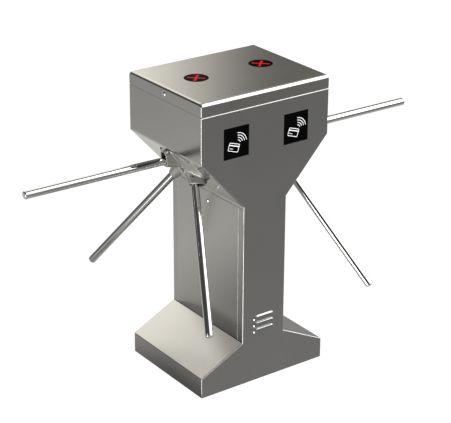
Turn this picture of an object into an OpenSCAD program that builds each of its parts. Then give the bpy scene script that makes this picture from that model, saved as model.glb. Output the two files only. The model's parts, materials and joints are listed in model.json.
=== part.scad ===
// Double tripod turnstile: a sheet-metal cabinet on a waisted column, with a
// three-armed rotor in each slanted side of the head.
// Frame: +X across the front, +Y to the rear, +Z up, origin at the centre of
// the underside. The front face looks along -Y.

/* [Cabinet] */
// Width of the head, lid and base
head_w = 482; // [470:1:500]
// Depth of the whole cabinet, front to back
body_d = 390; // [380:1:400]
// Total height
body_h = 980; // [970:1:1000]
// Width of the column
col_w = 164; // [160:1:176]
// Height of the seam under the lid
seam_z = 937; // [930:1:940]
// Height where the head's sides turn inwards
head_z = 787; // [780:1:792]
// Height where the slanted sides meet the column
neck_z = 615; // [610:1:620]
// Height where the column meets the base slope
slope_z = 146; // [140:1:152]
// Height of the base's upright lip
lip_z = 67; // [60:1:74]
// Thickness of the cabinet sheet
sheet_t = 2; // [1.5:0.5:2]

/* [Base plate] */
// Thickness of the base plate
plate_t = 8; // [6:1:10]
// Distance between anchor holes across the front
anchor_dx = 400; // [360:10:400]
// Distance between anchor holes front to back
anchor_dy = 310; // [280:10:310]
// Radius of the anchor holes
anchor_r = 7; // [6:0.5:8]
// Radius of the cable entry inside its grommet
entry_r = 20; // [16:1:22]

/* [Rotors] */
// Angle of the rotor axis below the horizontal
hub_tilt = 43; // [42:0.5:43]
// Diameter of the arm tube
arm_d = 25.4; // [24:0.2:26]
// Wall of the arm tube
arm_wall = 1.5; // [1.2:0.1:2]
// Reach of an arm from the point where the three arm axes meet
arm_reach = 586; // [560:1:600]
// Rest turn of the left rotor's arms about its axis
left_turn = 1.7; // [0:0.1:3]
// Rest turn of the right rotor's arms about its axis
right_turn = -0.9; // [-3:0.1:0]
// Radius of the rotor's rim in the slanted side
hub_r = 87; // [84:1:88]
// Radius of the round opening for the rotor
hub_open_r = 91; // [90:1:94]
// Radius of the shaft
shaft_r = 12.5; // [11:0.5:12.5]

/* [Front] */
// Width of a reader window
win_w = 93; // [88:1:96]
// Height of a reader window
win_h = 98.5; // [94:0.5:100]
// Distance from the centre line to a window's centre
win_x = 113; // [108:1:118]
// Height of the windows' centres
win_z = 835.7; // [830:0.1:842]
// Lower edge of the lowest louvre
louvre_z = 171; // [168:1:174]
// Distance from louvre to louvre
louvre_pitch = 22.5; // [22:0.5:24]
// Width of a louvre
louvre_w = 80; // [70:1:90]

/* [Lid] */
// Thickness of the lid sheet
lid_t = 1.5; // [1.2:0.1:1.5]
// Radius of the bend along the lid's front and rear edges
lid_bend = 14; // [8:1:18]
// Radius of an indicator lens
lens_r = 38.5; // [34:0.5:40]
// Distance from the centre line to a lens
lens_x = 123; // [112:1:134]
// Lens centre behind the middle of the lid
lens_y = 16; // [10:1:20]
// Middle of the two lenses to the right of the middle of the lid
lens_shift = 11.5; // [-12:0.5:12]

/* [Locks] */
// Radius of a lock's head
lock_r = 9.5; // [8:0.5:11]
// Height of the lid locks
lid_lock_z = 957.5; // [956:0.5:959]
// Height of the door locks
door_lock_z = 571; // [568:1:574]

/* [Hidden] */
$fn = 64;

hw = head_w / 2;
cw = col_w / 2;
hd = body_d / 2;
t = sheet_t;
// slanted side of the head: run, rise and angle from the vertical
run = hw - cw;
rise = head_z - neck_z;
side_a = atan(run / rise);
// rotor centre on the slanted side, measured down from its upper edge
hub_s = 102.8;
hub_x = hw - sin(side_a) * hub_s;
hub_z = head_z - cos(side_a) * hub_s;
// the three arm axes meet this far inside the slanted side
apex_in = 44;
arm_r = arm_d / 2;
steel = [0.62, 0.62, 0.61];
dark_steel = [0.42, 0.42, 0.42];
chrome = [0.85, 0.85, 0.86];
black = [0.05, 0.05, 0.06];

// ---------- places ----------
// rotor frame of the left side: +z out along the axis, +x up the slant
module on_left() { translate([-hub_x, 0, hub_z]) rotate([0, -(90 + hub_tilt), 0]) children(); }
module on_side(right) {
  if (right) mirror([1, 0, 0]) on_left() children();
  else on_left() children();
}
module flip(right) { if (right) mirror([1, 0, 0]) children(); else children(); }
// along one arm: +z runs out along the arm from the point where the axes meet
module on_arm(k, right) {
  translate([0, 0, -apex_in]) rotate([0, 0, 120 * k + (right ? right_turn : left_turn)]) rotate([0, hub_tilt, 0]) children();
}
module box3(a, b) { translate(a) cube(b - a); }
// plate in a plane parallel to the front, y from y0 to y1
module front_plate(y0, y1) { translate([0, y1, 0]) rotate([90, 0, 0]) linear_extrude(y1 - y0) children(); }
module rrect(w, h, r) {
  square([w - 2 * r, h], center = true);
  square([w, h - 2 * r], center = true);
  for (sx = [-1, 1], sy = [-1, 1]) translate([sx * (w / 2 - r), sy * (h / 2 - r)]) circle(r);
}

// ---------- cabinet ----------
function outline(d) = [
  [-hw + d, 0], [hw - d, 0], [hw - d, lip_z], [cw - d, slope_z], [cw - d, neck_z],
  [hw - d, head_z], [hw - d, seam_z], [-hw + d, seam_z], [-hw + d, head_z],
  [-cw + d, neck_z], [-cw + d, slope_z], [-hw + d, lip_z]];

// one pressed louvre, its mouth facing down at z = 0 and its panel face at y = 0
louvre_h = 15;
louvre_out = 5;
louvre_c = (louvre_h * louvre_h - louvre_out * louvre_out) / (2 * louvre_out);
louvre_R = louvre_c + louvre_out;
module louvre_body(r, cut) {
  intersection() {
    translate([0, louvre_c, 0]) union() {
      rotate([0, 90, 0]) cylinder(r = r, h = louvre_w - 2 * louvre_h, center = true);
      for (sx = [-1, 1]) translate([sx * (louvre_w / 2 - louvre_h), 0, 0]) sphere(r = r);
    }
    box3([-louvre_w, -20, cut], [louvre_w, 1.0, 40]);
  }
}
module louvre_hood() { difference() { louvre_body(louvre_R, 0); louvre_body(louvre_R - 1.4, -5); } }
module louvre_slots() {
  for (i = [0:2]) box3([-louvre_w / 2 + 9, -hd - 1, louvre_z + i * louvre_pitch + 0.6],
                       [louvre_w / 2 - 9, -hd + t + 1, louvre_z + i * louvre_pitch + 7]);
}
module louvre_row() { for (i = [0:2]) translate([0, -hd, louvre_z + i * louvre_pitch]) louvre_hood(); }

// front or rear skin with its column returns and its locating strip for the lid
module skin(windows) {
  difference() {
    union() {
      front_plate(-hd, -hd + t) polygon(outline(0));
      for (sx = [-1, 1])
        box3([min(sx * cw, sx * (cw - t)), -hd + t, slope_z + 2], [max(sx * cw, sx * (cw - t)), -hd + 28, neck_z - 9]);
      box3([-hw + 20, -hd + t, seam_z - 20], [hw - 20, -hd + t + 1.8, seam_z + 20]);
    }
    louvre_slots();
    if (windows)
      for (sx = [-1, 1]) translate([sx * win_x, 0, win_z])
        box3([-win_w / 2 - 0.4, -hd - 1, -win_h / 2 - 0.4], [win_w / 2 + 0.4, -hd + t + 3, win_h / 2 + 0.4]);
    if (!windows) rear_screw_places() cylinder(r = 2.8, h = 12, center = true);
  }
  louvre_row();
}
// screw places of the rear skin, drawn on the front and turned round with it
module rear_screw_places() {
  for (sx = [-1, 1]) {
    for (z = [200, 330, 460, 590]) translate([sx * 66, -hd + t / 2, z]) rotate([90, 0, 0]) children();
    for (z = [806, 905]) translate([sx * (hw - 12), -hd + t / 2, z]) rotate([90, 0, 0]) children();
    translate([sx * (hw - 12), -hd + t / 2, 34]) rotate([90, 0, 0]) children();
  }
}
module front_panel() { color(dark_steel) skin(true); }
module rear_panel() { color(dark_steel) rotate([0, 0, 180]) skin(false); }

module panel_screws() {
  color(chrome) rotate([0, 0, 180]) rear_screw_places() {
    cylinder(r = 2.5, h = 9, center = true);
    translate([0, 0, t / 2 + 0.02]) difference() {
      intersection() { cylinder(r = 5, h = 2.8); translate([0, 0, -4.2]) sphere(r = 7); }
      translate([0, 0, 1.2]) cylinder(r = 1.7, h = 3, $fn = 6);
    }
  }
}

// side and slanted side of the head in one bent sheet, with the rotor opening
function head_profile(d) = let (k = rise / run, s = d / sin(side_a)) [
  [-hw + d, seam_z], [-hw + d, head_z - k * d + s], [-cw + d, neck_z - k * d + s], [-cw + d, neck_z - 8]];
module head_shell(right) {
  color(steel) flip(right) {
    difference() {
      union() {
        rotate([90, 0, 0]) linear_extrude(body_d - 2 * t, center = true)
          polygon(concat(head_profile(0), [for (i = [3:-1:0]) head_profile(t)[i]]));
        // upright lip that locates the lid, with a keeper tab on each side of the lock
        box3([-hw + t, -170, seam_z - 30], [-hw + t + 1.8, 170, seam_z + 29]);
        for (sy = [-1, 1])
          box3([-hw + t, min(sy * 13.5, sy * 44), seam_z + 27], [-hw + 30, max(sy * 13.5, sy * 44), seam_z + 29]);
        // end flanges that the skins are fixed to
        for (sy = [-1, 1])
          box3([-hw + t, sy > 0 ? hd - t - 2 : -hd + t, head_z + 6], [-hw + 24, sy > 0 ? hd - t : -hd + t + 2, seam_z - 22]);
      }
      on_left() cylinder(r = hub_open_r, h = 40, center = true);
      box3([-hw + t - 0.5, -13.5, seam_z + 4], [-hw + 40, 13.5, seam_z + 40]);
      for (z = [806, 905]) translate([-hw + 12, hd, z]) rotate([90, 0, 0]) cylinder(r = 2.6, h = 20, center = true);
    }
  }
}

// sloping cover of one side of the base
base_k = (slope_z - lip_z) / run;
function base_profile(d) = let (s = d * sqrt(1 + base_k * base_k)) [
  [-hw + d, 0], [-hw + d, lip_z + base_k * d - s], [-cw - 0.3, lip_z + base_k * (run - 0.3) - s]];
module base_cover(right) {
  color(steel) flip(right) difference() {
    union() {
      rotate([90, 0, 0]) linear_extrude(body_d - 2 * t, center = true)
        polygon(concat(base_profile(0), [for (i = [2:-1:0]) base_profile(t)[i]]));
      for (sy = [-1, 1])
        box3([-hw + t, sy > 0 ? hd - t - 2 : -hd + t, plate_t + 2], [-hw + 24, sy > 0 ? hd - t : -hd + t + 2, lip_z - 3]);
    }
    translate([-hw + 12, hd, 34]) rotate([90, 0, 0]) cylinder(r = 2.6, h = 20, center = true);
  }
}

module base_plate() {
  color(dark_steel) difference() {
    box3([-hw + t + 0.5, -hd + t + 0.5, 0], [hw - t - 0.5, hd - t - 0.5, plate_t]);
    for (sx = [-1, 1], sy = [-1, 1]) translate([sx * anchor_dx / 2, sy * anchor_dy / 2, -1]) cylinder(r = anchor_r, h = plate_t + 2);
    translate([0, 0, -1]) cylinder(r = entry_r + 6, h = plate_t + 2);
  }
}
module cable_grommet() {
  color(black) difference() {
    union() { cylinder(r = entry_r + 5.9, h = plate_t); translate([0, 0, plate_t]) cylinder(r = entry_r + 11, h = 4); }
    translate([0, 0, -1]) cylinder(r = entry_r, h = plate_t + 6);
  }
}

// welded inner frame: four angle posts, two head ribs, door headers and sills
module frame() {
  color("dimgray") {
    difference() {
      for (sx = [-1, 1], sy = [-1, 1]) mirror([sx < 0 ? 1 : 0, 0, 0]) mirror([0, sy < 0 ? 1 : 0, 0]) {
        box3([cw - t - 3.5, 160, plate_t], [cw - t - 0.5, hd - t - 0.5, 612]);
        box3([cw - t - 18, hd - t - 3.5, plate_t], [cw - t - 0.5, hd - t - 0.5, 612]);
      }
      // tapped holes for the rear skin's screws
      rotate([0, 0, 180]) rear_screw_places() cylinder(r = 2.55, h = 20, center = true);
    }
    for (sy = [-1, 1]) difference() {
      front_plate(sy > 0 ? 160 : -163, sy > 0 ? 163 : -160)
        polygon([[-hw + 8, seam_z - 8], [-hw + 8, head_z + 6], [-cw + 3.5, neck_z + 12], [-cw + 3.5, 560], [cw - 3.5, 560],
                 [cw - 3.5, neck_z + 12], [hw - 8, head_z + 6], [hw - 8, seam_z - 8]]);
      front_plate(-200, 200) polygon([[-hw + 40, seam_z - 34], [-hw + 40, 850], [-60, 850], [-60, seam_z - 34]]);
      front_plate(-200, 200) polygon([[hw - 40, seam_z - 34], [hw - 40, 850], [60, 850], [60, seam_z - 34]]);
      front_plate(-200, 200) polygon([[-36, 700], [36, 700], [36, 580], [-36, 580]]);
    }
    for (sx = [-1, 1]) mirror([sx < 0 ? 1 : 0, 0, 0]) {
      box3([cw - t - 3.5, -160, 588], [cw - t - 0.5, 160, 612]);
      box3([cw - t - 3.5, -160, 120], [cw - t - 0.5, 160, slope_z + 16]);
    }
    for (x = [-30, 30]) box3([x - 10, -160, seam_z - 20], [x + 10, 160, seam_z - 14]);
  }
}

// flat door in one side of the column, with two stiffeners inside
module door(right) {
  color(steel) flip(right) difference() {
    union() {
      box3([-cw, -166.6, slope_z + 2.2], [-cw + t, 166.6, neck_z - 8.8]);
      for (sy = [-1, 1]) box3([-cw + t, sy * 95 - 12, 180], [-cw + t + 9, sy * 95 + 12, 560]);
    }
    translate([-cw, 0, door_lock_z]) rotate([0, 90, 0]) cylinder(r = 8, h = 20, center = true);
  }
}

// ---------- locks ----------
// barrel with its face towards -x at x = 0
module lock_barrel() {
  color(chrome) rotate([0, 90, 0]) difference() {
    union() {
      translate([0, 0, -3]) cylinder(r = lock_r, h = 2.95);
      translate([0, 0, -0.05]) cylinder(r = 7.9, h = 14.05);
    }
    translate([0, 0, -4]) cylinder(r = 5.1, h = 20);
  }
}
// key plug with the cam on its inner end, the cam pointing along +y
module lock_cam(reach) {
  color("silver") {
    rotate([0, 90, 0]) difference() {
      translate([0, 0, -2.8]) cylinder(r = 5, h = 18.3);
      translate([-0.7, -3.4, -4]) cube([1.4, 6.8, 5]);
    }
    translate([14.5, 0, 0]) rotate([0, 90, 0]) linear_extrude(2) {
      circle(6);
      translate([-6, 0]) square([12, reach - 6]);
      translate([0, reach - 6]) circle(6);
    }
  }
}
module lid_lock_barrels() { for (r = [false, true]) flip(r) translate([-hw, 0, lid_lock_z]) lock_barrel(); }
module lid_lock_cam(right) { flip(right) translate([-hw, 0, lid_lock_z]) rotate([-90, 0, 0]) lock_cam(26); }
module door_lock_barrel(right) { flip(right) translate([-cw, 0, door_lock_z]) lock_barrel(); }
module door_lock_cam(right) { flip(right) translate([-cw, 0, door_lock_z]) lock_cam(28); }

// ---------- lid ----------
module lid_form(d) {
  // d is the distance inwards from the outer face
  b = lid_bend - d;
  s = 5 - d;
  zt = body_h - d;
  zb = d > 0 ? seam_z - 10 : seam_z + 0.8;
  intersection() {
    rotate([90, 0, 90]) linear_extrude(head_w + 20, center = true) {
      translate([-hd + d, zb]) square([body_d - 2 * d, zt - b - zb]);
      translate([-hd + d + b, zb]) square([body_d - 2 * d - 2 * b, zt - zb]);
      for (sy = [-1, 1]) translate([sy * (hd - d - b), zt - b]) circle(b);
    }
    rotate([90, 0, 0]) linear_extrude(body_d + 20, center = true) {
      translate([-hw + d, zb]) square([head_w - 2 * d, zt - s - zb]);
      translate([-hw + d + s, zb]) square([head_w - 2 * d - 2 * s, zt - zb]);
      for (sx = [-1, 1]) translate([sx * (hw - d - s), zt - s]) circle(s);
    }
    translate([0, 0, zb]) linear_extrude(80) rrect(head_w - 2 * d, body_d - 2 * d, 4 - d);
  }
}
module lid() {
  color(steel) {
    difference() {
      lid_form(0);
      lid_form(lid_t);
      for (sx = [-1, 1]) translate([lens_shift + sx * lens_x, lens_y, body_h - 5]) cylinder(r = lens_r + 0.2, h = 10);
      for (sx = [-1, 1]) translate([sx * hw, 0, lid_lock_z]) rotate([0, 90, 0]) cylinder(r = 8, h = 10, center = true);
    }
    // pads that rest on the keeper tabs
    for (sx = [-1, 1], sy = [-1, 1]) translate([sx * (hw - 17), sy * 32, 0]) box3([-6, -8, seam_z + 29.1], [6, 8, body_h - lid_t]);
  }
}
module indicator_lenses() {
  color(black) for (sx = [-1, 1]) translate([lens_shift + sx * lens_x, lens_y, 0]) difference() {
    union() {
      translate([0, 0, body_h - 4]) cylinder(r = lens_r, h = 4);
      translate([0, 0, body_h - 4.5]) cylinder(r = lens_r + 2.5, h = 2.9);
      translate([0, 0, body_h - 16]) cylinder(r = lens_r, h = 12.5);
    }
    translate([0, 0, body_h - 17]) cylinder(r = lens_r - 2.5, h = 14);
  }
}
module indicator_boards() {
  color("darkgreen") for (sx = [-1, 1]) translate([lens_shift + sx * lens_x, lens_y, body_h - 17.7]) {
    cylinder(r = lens_r, h = 1.6);
    for (a = [45:90:315], k = [1:4]) rotate([0, 0, a]) translate([k * 7, 0, 1.6]) cylinder(r = 1.5, h = 3);
    translate([0, 0, 1.6]) cylinder(r = 1.5, h = 3);
  }
}

// ---------- front fittings ----------
module reader_windows() {
  color(black) for (sx = [-1, 1]) translate([sx * win_x, 0, win_z]) {
    box3([-win_w / 2, -hd - 0.4, -win_h / 2], [win_w / 2, -hd + t + 0.05, win_h / 2]);
    box3([-win_w / 2 - 4, -hd + t + 0.05, -win_h / 2 - 4], [win_w / 2 + 4, -hd + t + 1.5, win_h / 2 + 4]);
  }
}
module reader_modules() {
  color([0.12, 0.12, 0.13]) for (sx = [-1, 1]) translate([sx * win_x, 0, win_z]) {
    box3([-42, -hd + t + 1.55, -44], [42, -hd + t + 15, 44]);
    box3([-10, -hd + t + 15, -36], [10, -hd + t + 21, -24]);
  }
}

// ---------- electronics in the column ----------
module controller_board() {
  color("darkgreen") {
    box3([-60, hd - t - 16, 400], [60, hd - t - 14.4, 550]);
    for (x = [-52, 52], z = [408, 542]) translate([x, hd - t - 0.05, z]) rotate([90, 0, 0]) cylinder(r = 3, h = 14.35);
  }
  color("black") {
    for (z = [420, 470]) box3([-30, hd - t - 19, z], [0, hd - t - 16, z + 30]);
    for (z = [412:16:524]) box3([38, hd - t - 28, z], [56, hd - t - 16, z + 14]);
    for (x = [-50, -22, 6]) translate([x + 8, hd - t - 16, 520]) rotate([90, 0, 0]) cylinder(r = 6, h = 14);
  }
}
module power_supply() {
  color("silver") {
    box3([-52, hd - t - 40, 200], [52, hd - t - 2, 370]);
    for (z = [192, 370]) box3([-30, hd - t - 2.05, z == 192 ? 186 : 368], [30, hd - t - 0.05, z == 192 ? 202 : 384]);
    for (i = [0:4]) box3([-40 + i * 17, hd - t - 46, 206], [-28 + i * 17, hd - t - 40, 222]);
  }
}

// ---------- rotor ----------
socket_s = 106; // distance of a socket's mouth from the point where the axes meet
prong_t = 17; // half thickness of a socket
prong_in = 17.7; // reach of a socket from its arm's axis towards the nose
prong_out = 33; // and towards the rim
// oblong outline of a socket, grown by g, +x towards the rim
module prong_outline(g) {
  r = prong_t + g;
  translate([-prong_in - g + r, -r]) square([prong_in + prong_out + 2 * g - 2 * r, 2 * r]);
  translate([-prong_in - g + r, 0]) circle(r);
  translate([prong_out + g - r, 0]) circle(r);
}
module hub(right) {
  color(steel) on_side(right) difference() {
    union() {
      // rim in the round opening, the face behind the sockets and the central boss
      rotate_extrude() polygon([[shaft_r + 0.02, -26], [24, -26], [24, -12], [hub_r - 6, -12], [hub_r, -9], [hub_r, 0], [hub_r - 3, 3],
        [58, 7], [34, 12], [27, 33], [22, 38], [0, 38], [0, -6], [shaft_r + 0.02, -6]]);
      intersection() {
        for (k = [0:2]) on_arm(k, right) translate([0, 0, 22]) linear_extrude(socket_s - 22) prong_outline(0);
        translate([0, 0, -10]) cylinder(r = 110, h = 60);
      }
    }
    for (k = [0:2]) on_arm(k, right) {
      translate([0, 0, 56]) cylinder(r = arm_r + 0.05, h = 100);
      // oblong mouth, wider than the tube towards the rim
      translate([0, 0, socket_s - 14]) linear_extrude(60) prong_outline(-4);
      // tapped hole for the arm's screw
      translate([0, 0, 80]) rotate([-90, 0, 0]) cylinder(r = 4.05, h = 60);
    }
    // the shaft's bore runs on between the sockets' roots
    translate([0, 0, -30]) cylinder(r = shaft_r + 0.02, h = 24);
  }
}
module arm(right, k) {
  color(chrome) on_side(right) on_arm(k, right) difference() {
    translate([0, 0, 57]) cylinder(r = arm_r, h = arm_reach - 8 - 57);
    translate([0, 0, 56]) cylinder(r = arm_r - arm_wall, h = arm_reach);
  }
}
module arm_caps(right) {
  color(chrome) on_side(right) for (k = [0:2]) on_arm(k, right) translate([0, 0, arm_reach - 8])
    rotate_extrude() polygon([[0, -16], [arm_r - arm_wall - 0.1, -16], [arm_r - arm_wall - 0.1, 0.02], [arm_r, 0.02], [arm_r, 3],
      for (a = [10:10:80]) [arm_r - 5 + 5 * cos(a), 3 + 5 * sin(a)], [arm_r - 5, 8], [0, 8]]);
}
module arm_screws(right) {
  color(dark_steel) on_side(right) for (k = [0:2]) on_arm(k, right) translate([0, 0, 80]) rotate([-90, 0, 0]) difference() {
    translate([0, 0, arm_r + 0.05]) cylinder(r = 4, h = 4.4);
    translate([0, 0, arm_r + 1.5]) cylinder(r = 2.3, h = 10, $fn = 6);
  }
}
module shaft(right) {
  color("silver") on_side(right) {
    translate([0, 0, -132]) cylinder(r = shaft_r, h = 125.8);
    translate([0, 0, -34]) cylinder(r = 15.5, h = 7.9);
  }
}
// cam on the shaft's inner end: three stop lugs and three low detent lobes
cam_r = 44;
module index_cam(right) {
  color([0.5, 0.48, 0.42]) on_side(right) {
    rotate_extrude() polygon([[shaft_r + 0.02, -126], [22, -126], [22, -120], [cam_r, -120], [cam_r, -108], [24, -108],
      [24, -104], [46, -104], [46, -94], [shaft_r + 0.02, -94]]);
    for (k = [0:2]) rotate([0, 0, 120 * k]) translate([0, 0, -103.6]) linear_extrude(9.2)
      polygon([[40, -40 * tan(8)], [57, -57 * tan(8)], [58, 0], [57, 57 * tan(8)], [40, 40 * tan(8)]]);
    for (k = [0:2]) rotate([0, 0, 30 + 120 * k]) translate([cam_r - 9, 0, -119.6]) cylinder(r = 12, h = 11.2);
  }
}

// ---------- fixed mechanism ----------
module chassis(right) {
  color("gray") on_side(right) difference() {
    union() {
      box3([-104, -159.8, -42], [96, 159.8, -36]);
      for (sy = [-1, 1]) box3([-104, sy > 0 ? 153.8 : -159.8, -70], [96, sy > 0 ? 159.8 : -153.8, -42]);
      difference() { box3([76, -46, -84.9], [96, 46, -42]); box3([79, -43, -90], [93, 43, -30]); }
      translate([-48, 64, -126]) cylinder(r = 5, h = 84);
    }
    translate([0, 0, -60]) cylinder(r = 34.1, h = 40);
    for (a = [45:90:315]) rotate([0, 0, a]) translate([44, 0, -50]) cylinder(r = 2.7, h = 20);
  }
}
module bearing_housing(right) {
  color("silver") on_side(right) difference() {
    union() {
      translate([0, 0, -50]) cylinder(r = 52, h = 8);
      translate([0, 0, -90]) cylinder(r = 32, h = 54);
    }
    translate([0, 0, -88]) cylinder(r = 23.52, h = 60);
    translate([0, 0, -100]) cylinder(r = 20, h = 60);
    for (a = [45:90:315]) rotate([0, 0, a]) translate([44, 0, -60]) cylinder(r = 2.7, h = 30);
  }
}
module bearings(right) {
  color("silver") on_side(right) for (z = [-88, -48]) translate([0, 0, z]) rotate_extrude()
    polygon([[shaft_r + 0.05, 0], [16, 0], [16, 1.2], [20, 1.2], [20, 0], [23.5, 0], [23.5, 12], [20, 12], [20, 10.8], [16, 10.8], [16, 12], [shaft_r + 0.05, 12]]);
}
bolt_a = 15; // each side of the stop lug
module on_bolt(s) { translate([0, 0, -99]) rotate([0, 0, s * bolt_a]) rotate([0, 90, 0]) children(); }
module solenoids(right) {
  color([0.2, 0.2, 0.22]) on_side(right) for (s = [-1, 1]) on_bolt(s) difference() {
    union() {
      translate([0, 0, 74]) cylinder(r = 12.2, h = 43);
      translate([-14, -13, 72]) cube([28, 26, 4]);
      translate([-14, -13, 115.5]) cube([28, 26, 3]);
      translate([-14, -12, 73]) cube([1.5, 24, 44]);
    }
    translate([0, 0, 70]) cylinder(r = 5, h = 40);
  }
}
module lock_bolt(right, s) {
  color("silver") on_side(right) on_bolt(s) {
    translate([0, 0, 61]) cylinder(r = 4.5, h = 44);
  }
}
// lever beside the cam, with its roller just outside the lobes
module detent_lever(right) {
  color("gray") on_side(right) {
    difference() {
      translate([0, 0, -119]) linear_extrude(10) {
        translate([-48, 64]) circle(11);
        translate([-48, 64]) rotate(-9.5) translate([0, -6]) square([49, 12]);
        translate([0, 56]) circle(7);
      }
      translate([0, 0, -116]) linear_extrude(4) translate([0, 55.6]) circle(8.6);
      translate([-48, 64, -130]) cylinder(r = 5.06, h = 30);
    }
    translate([0, 55.6, -118]) cylinder(r = 3, h = 8);
    translate([0, 55.6, -115.8]) difference() { cylinder(r = 8, h = 3.6); translate([0, 0, -1]) cylinder(r = 3.02, h = 6); }
  }
}
// torsion spring round the lever's post: a round wire swept along a helix
spring_turns = 4.25;
spring_n = 16;
function helix_p(a) = [7.6 * cos(a), 7.6 * sin(a), a / 360 * 2.6];
function ring_pts(a) = let (c = helix_p(a), rx = [cos(a), sin(a), 0], rz = [0, 0, 1])
  [for (q = [0:60:300]) c + 0.9 * (cos(q) * rx + sin(q) * rz)];
module detent_spring(right) {
  steps = spring_turns * spring_n;
  pts = [for (i = [0:steps]) each ring_pts(i * 360 / spring_n)];
  n = floor(steps) + 1;
  color("silver") on_side(right) translate([-48, 64, -104]) polyhedron(points = pts,
    faces = concat([[for (j = [5:-1:0]) j]], [[for (j = [0:5]) (n - 1) * 6 + j]],
      [for (i = [0:n - 2], j = [0:5]) [i * 6 + j, i * 6 + (j + 1) % 6, (i + 1) * 6 + (j + 1) % 6, (i + 1) * 6 + j]]));
}

base_plate();
cable_grommet();
frame();
front_panel();
rear_panel();
head_shell(false);  // left_head_shell
head_shell(true);  // right_head_shell
base_cover(false);  // left_base_cover
base_cover(true);  // right_base_cover
panel_screws();
lid();
indicator_lenses();
indicator_boards();
lid_lock_barrels();
lid_lock_cam(false);  // left_lid_lock_cam
lid_lock_cam(true);  // right_lid_lock_cam
door(false);  // left_door
door(true);  // right_door
door_lock_barrel(false);  // left_door_lock_barrel
door_lock_barrel(true);  // right_door_lock_barrel
door_lock_cam(false);  // left_door_lock_cam
door_lock_cam(true);  // right_door_lock_cam
reader_windows();
reader_modules();
controller_board();
power_supply();
hub(false);  // left_hub
hub(true);  // right_hub
arm(false, 0);  // left_arm_1
arm(false, 1);  // left_arm_2
arm(false, 2);  // left_arm_3
arm(true, 0);  // right_arm_1
arm(true, 1);  // right_arm_2
arm(true, 2);  // right_arm_3
arm_caps(false);  // left_arm_caps
arm_caps(true);  // right_arm_caps
arm_screws(false);  // left_arm_screws
arm_screws(true);  // right_arm_screws
shaft(false);  // left_shaft
shaft(true);  // right_shaft
index_cam(false);  // left_index_cam
index_cam(true);  // right_index_cam
chassis(false);  // left_chassis
chassis(true);  // right_chassis
bearing_housing(false);  // left_bearing_housing
bearing_housing(true);  // right_bearing_housing
bearings(false);  // left_bearings
bearings(true);  // right_bearings
solenoids(false);  // left_solenoids
solenoids(true);  // right_solenoids
lock_bolt(false, -1);  // left_lock_bolt_front
lock_bolt(false, 1);  // left_lock_bolt_rear
lock_bolt(true, -1);  // right_lock_bolt_front
lock_bolt(true, 1);  // right_lock_bolt_rear
detent_lever(false);  // left_detent_lever
detent_lever(true);  // right_detent_lever
detent_spring(false);  // left_detent_spring
detent_spring(true);  // right_detent_spring
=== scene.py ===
"""Double tripod turnstile: the visible surfaces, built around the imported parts."""
import bpy
import bmesh
import json
import math
import numpy as np
from mathutils import Vector, Matrix, geometry, noise


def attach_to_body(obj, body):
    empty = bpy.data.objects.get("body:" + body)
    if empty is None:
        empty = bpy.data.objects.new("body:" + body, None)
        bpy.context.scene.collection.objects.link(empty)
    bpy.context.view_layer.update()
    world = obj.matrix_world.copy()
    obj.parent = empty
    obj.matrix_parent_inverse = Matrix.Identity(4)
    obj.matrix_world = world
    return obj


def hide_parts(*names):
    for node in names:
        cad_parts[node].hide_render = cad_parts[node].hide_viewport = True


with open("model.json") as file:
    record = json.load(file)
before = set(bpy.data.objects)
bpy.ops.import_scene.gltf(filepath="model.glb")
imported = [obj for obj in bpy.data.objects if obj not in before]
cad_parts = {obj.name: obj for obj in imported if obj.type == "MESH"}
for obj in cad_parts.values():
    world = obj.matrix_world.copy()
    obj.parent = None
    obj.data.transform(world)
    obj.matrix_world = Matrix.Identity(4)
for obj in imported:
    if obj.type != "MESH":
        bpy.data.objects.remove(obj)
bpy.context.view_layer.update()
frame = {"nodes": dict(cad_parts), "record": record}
NODE = frame["nodes"]
scene = bpy.context.scene
MM = 0.001

# ------------------------------------------------------------------ sizes (mm), as in the construction
HW, CW, HD, T = 241.0, 82.0, 195.0, 2.0
SEAM_Z, HEAD_Z, NECK_Z, SLOPE_Z, LIP_Z, TOP_Z = 937.0, 787.0, 615.0, 146.0, 67.0, 980.0
SIDE_A = math.atan((HW - CW) / (HEAD_Z - NECK_Z))
HUB_S, TILT, APEX_IN = 102.8, math.radians(43.0), 44.0
HUB_P = Vector((-(HW - math.sin(SIDE_A) * HUB_S), 0.0, HEAD_Z - math.cos(SIDE_A) * HUB_S))
EX = Vector((-math.sin(TILT), 0, math.cos(TILT)))
EY = Vector((0, 1, 0))
EZ = Vector((-math.cos(TILT), 0, -math.sin(TILT)))
ARM_R, ARM_REACH, SOCKET_S = 12.7, 586.0, 106.0
TURN = {"left": 1.7, "right": -0.9}


def side_sign(side):
    return -1.0 if side == "left" else 1.0


def local_matrix(side):
    """Rotor frame of one side, in metres: +z out along the axis, +x up the slant."""
    m = Matrix((EX, EY, EZ)).transposed().to_4x4()
    m.translation = HUB_P * MM
    if side == "right":
        m = Matrix.Diagonal((-1, 1, 1, 1)) @ m
    return m


def arm_matrix(side, k):
    """Frame of one arm in the rotor frame, in mm: +z out along the arm, +x away from the rotor axis."""
    return (Matrix.Translation((0, 0, -APEX_IN)) @ Matrix.Rotation(math.radians(120 * k + TURN[side]), 4, "Z")
            @ Matrix.Rotation(TILT, 4, "Y"))


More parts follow.
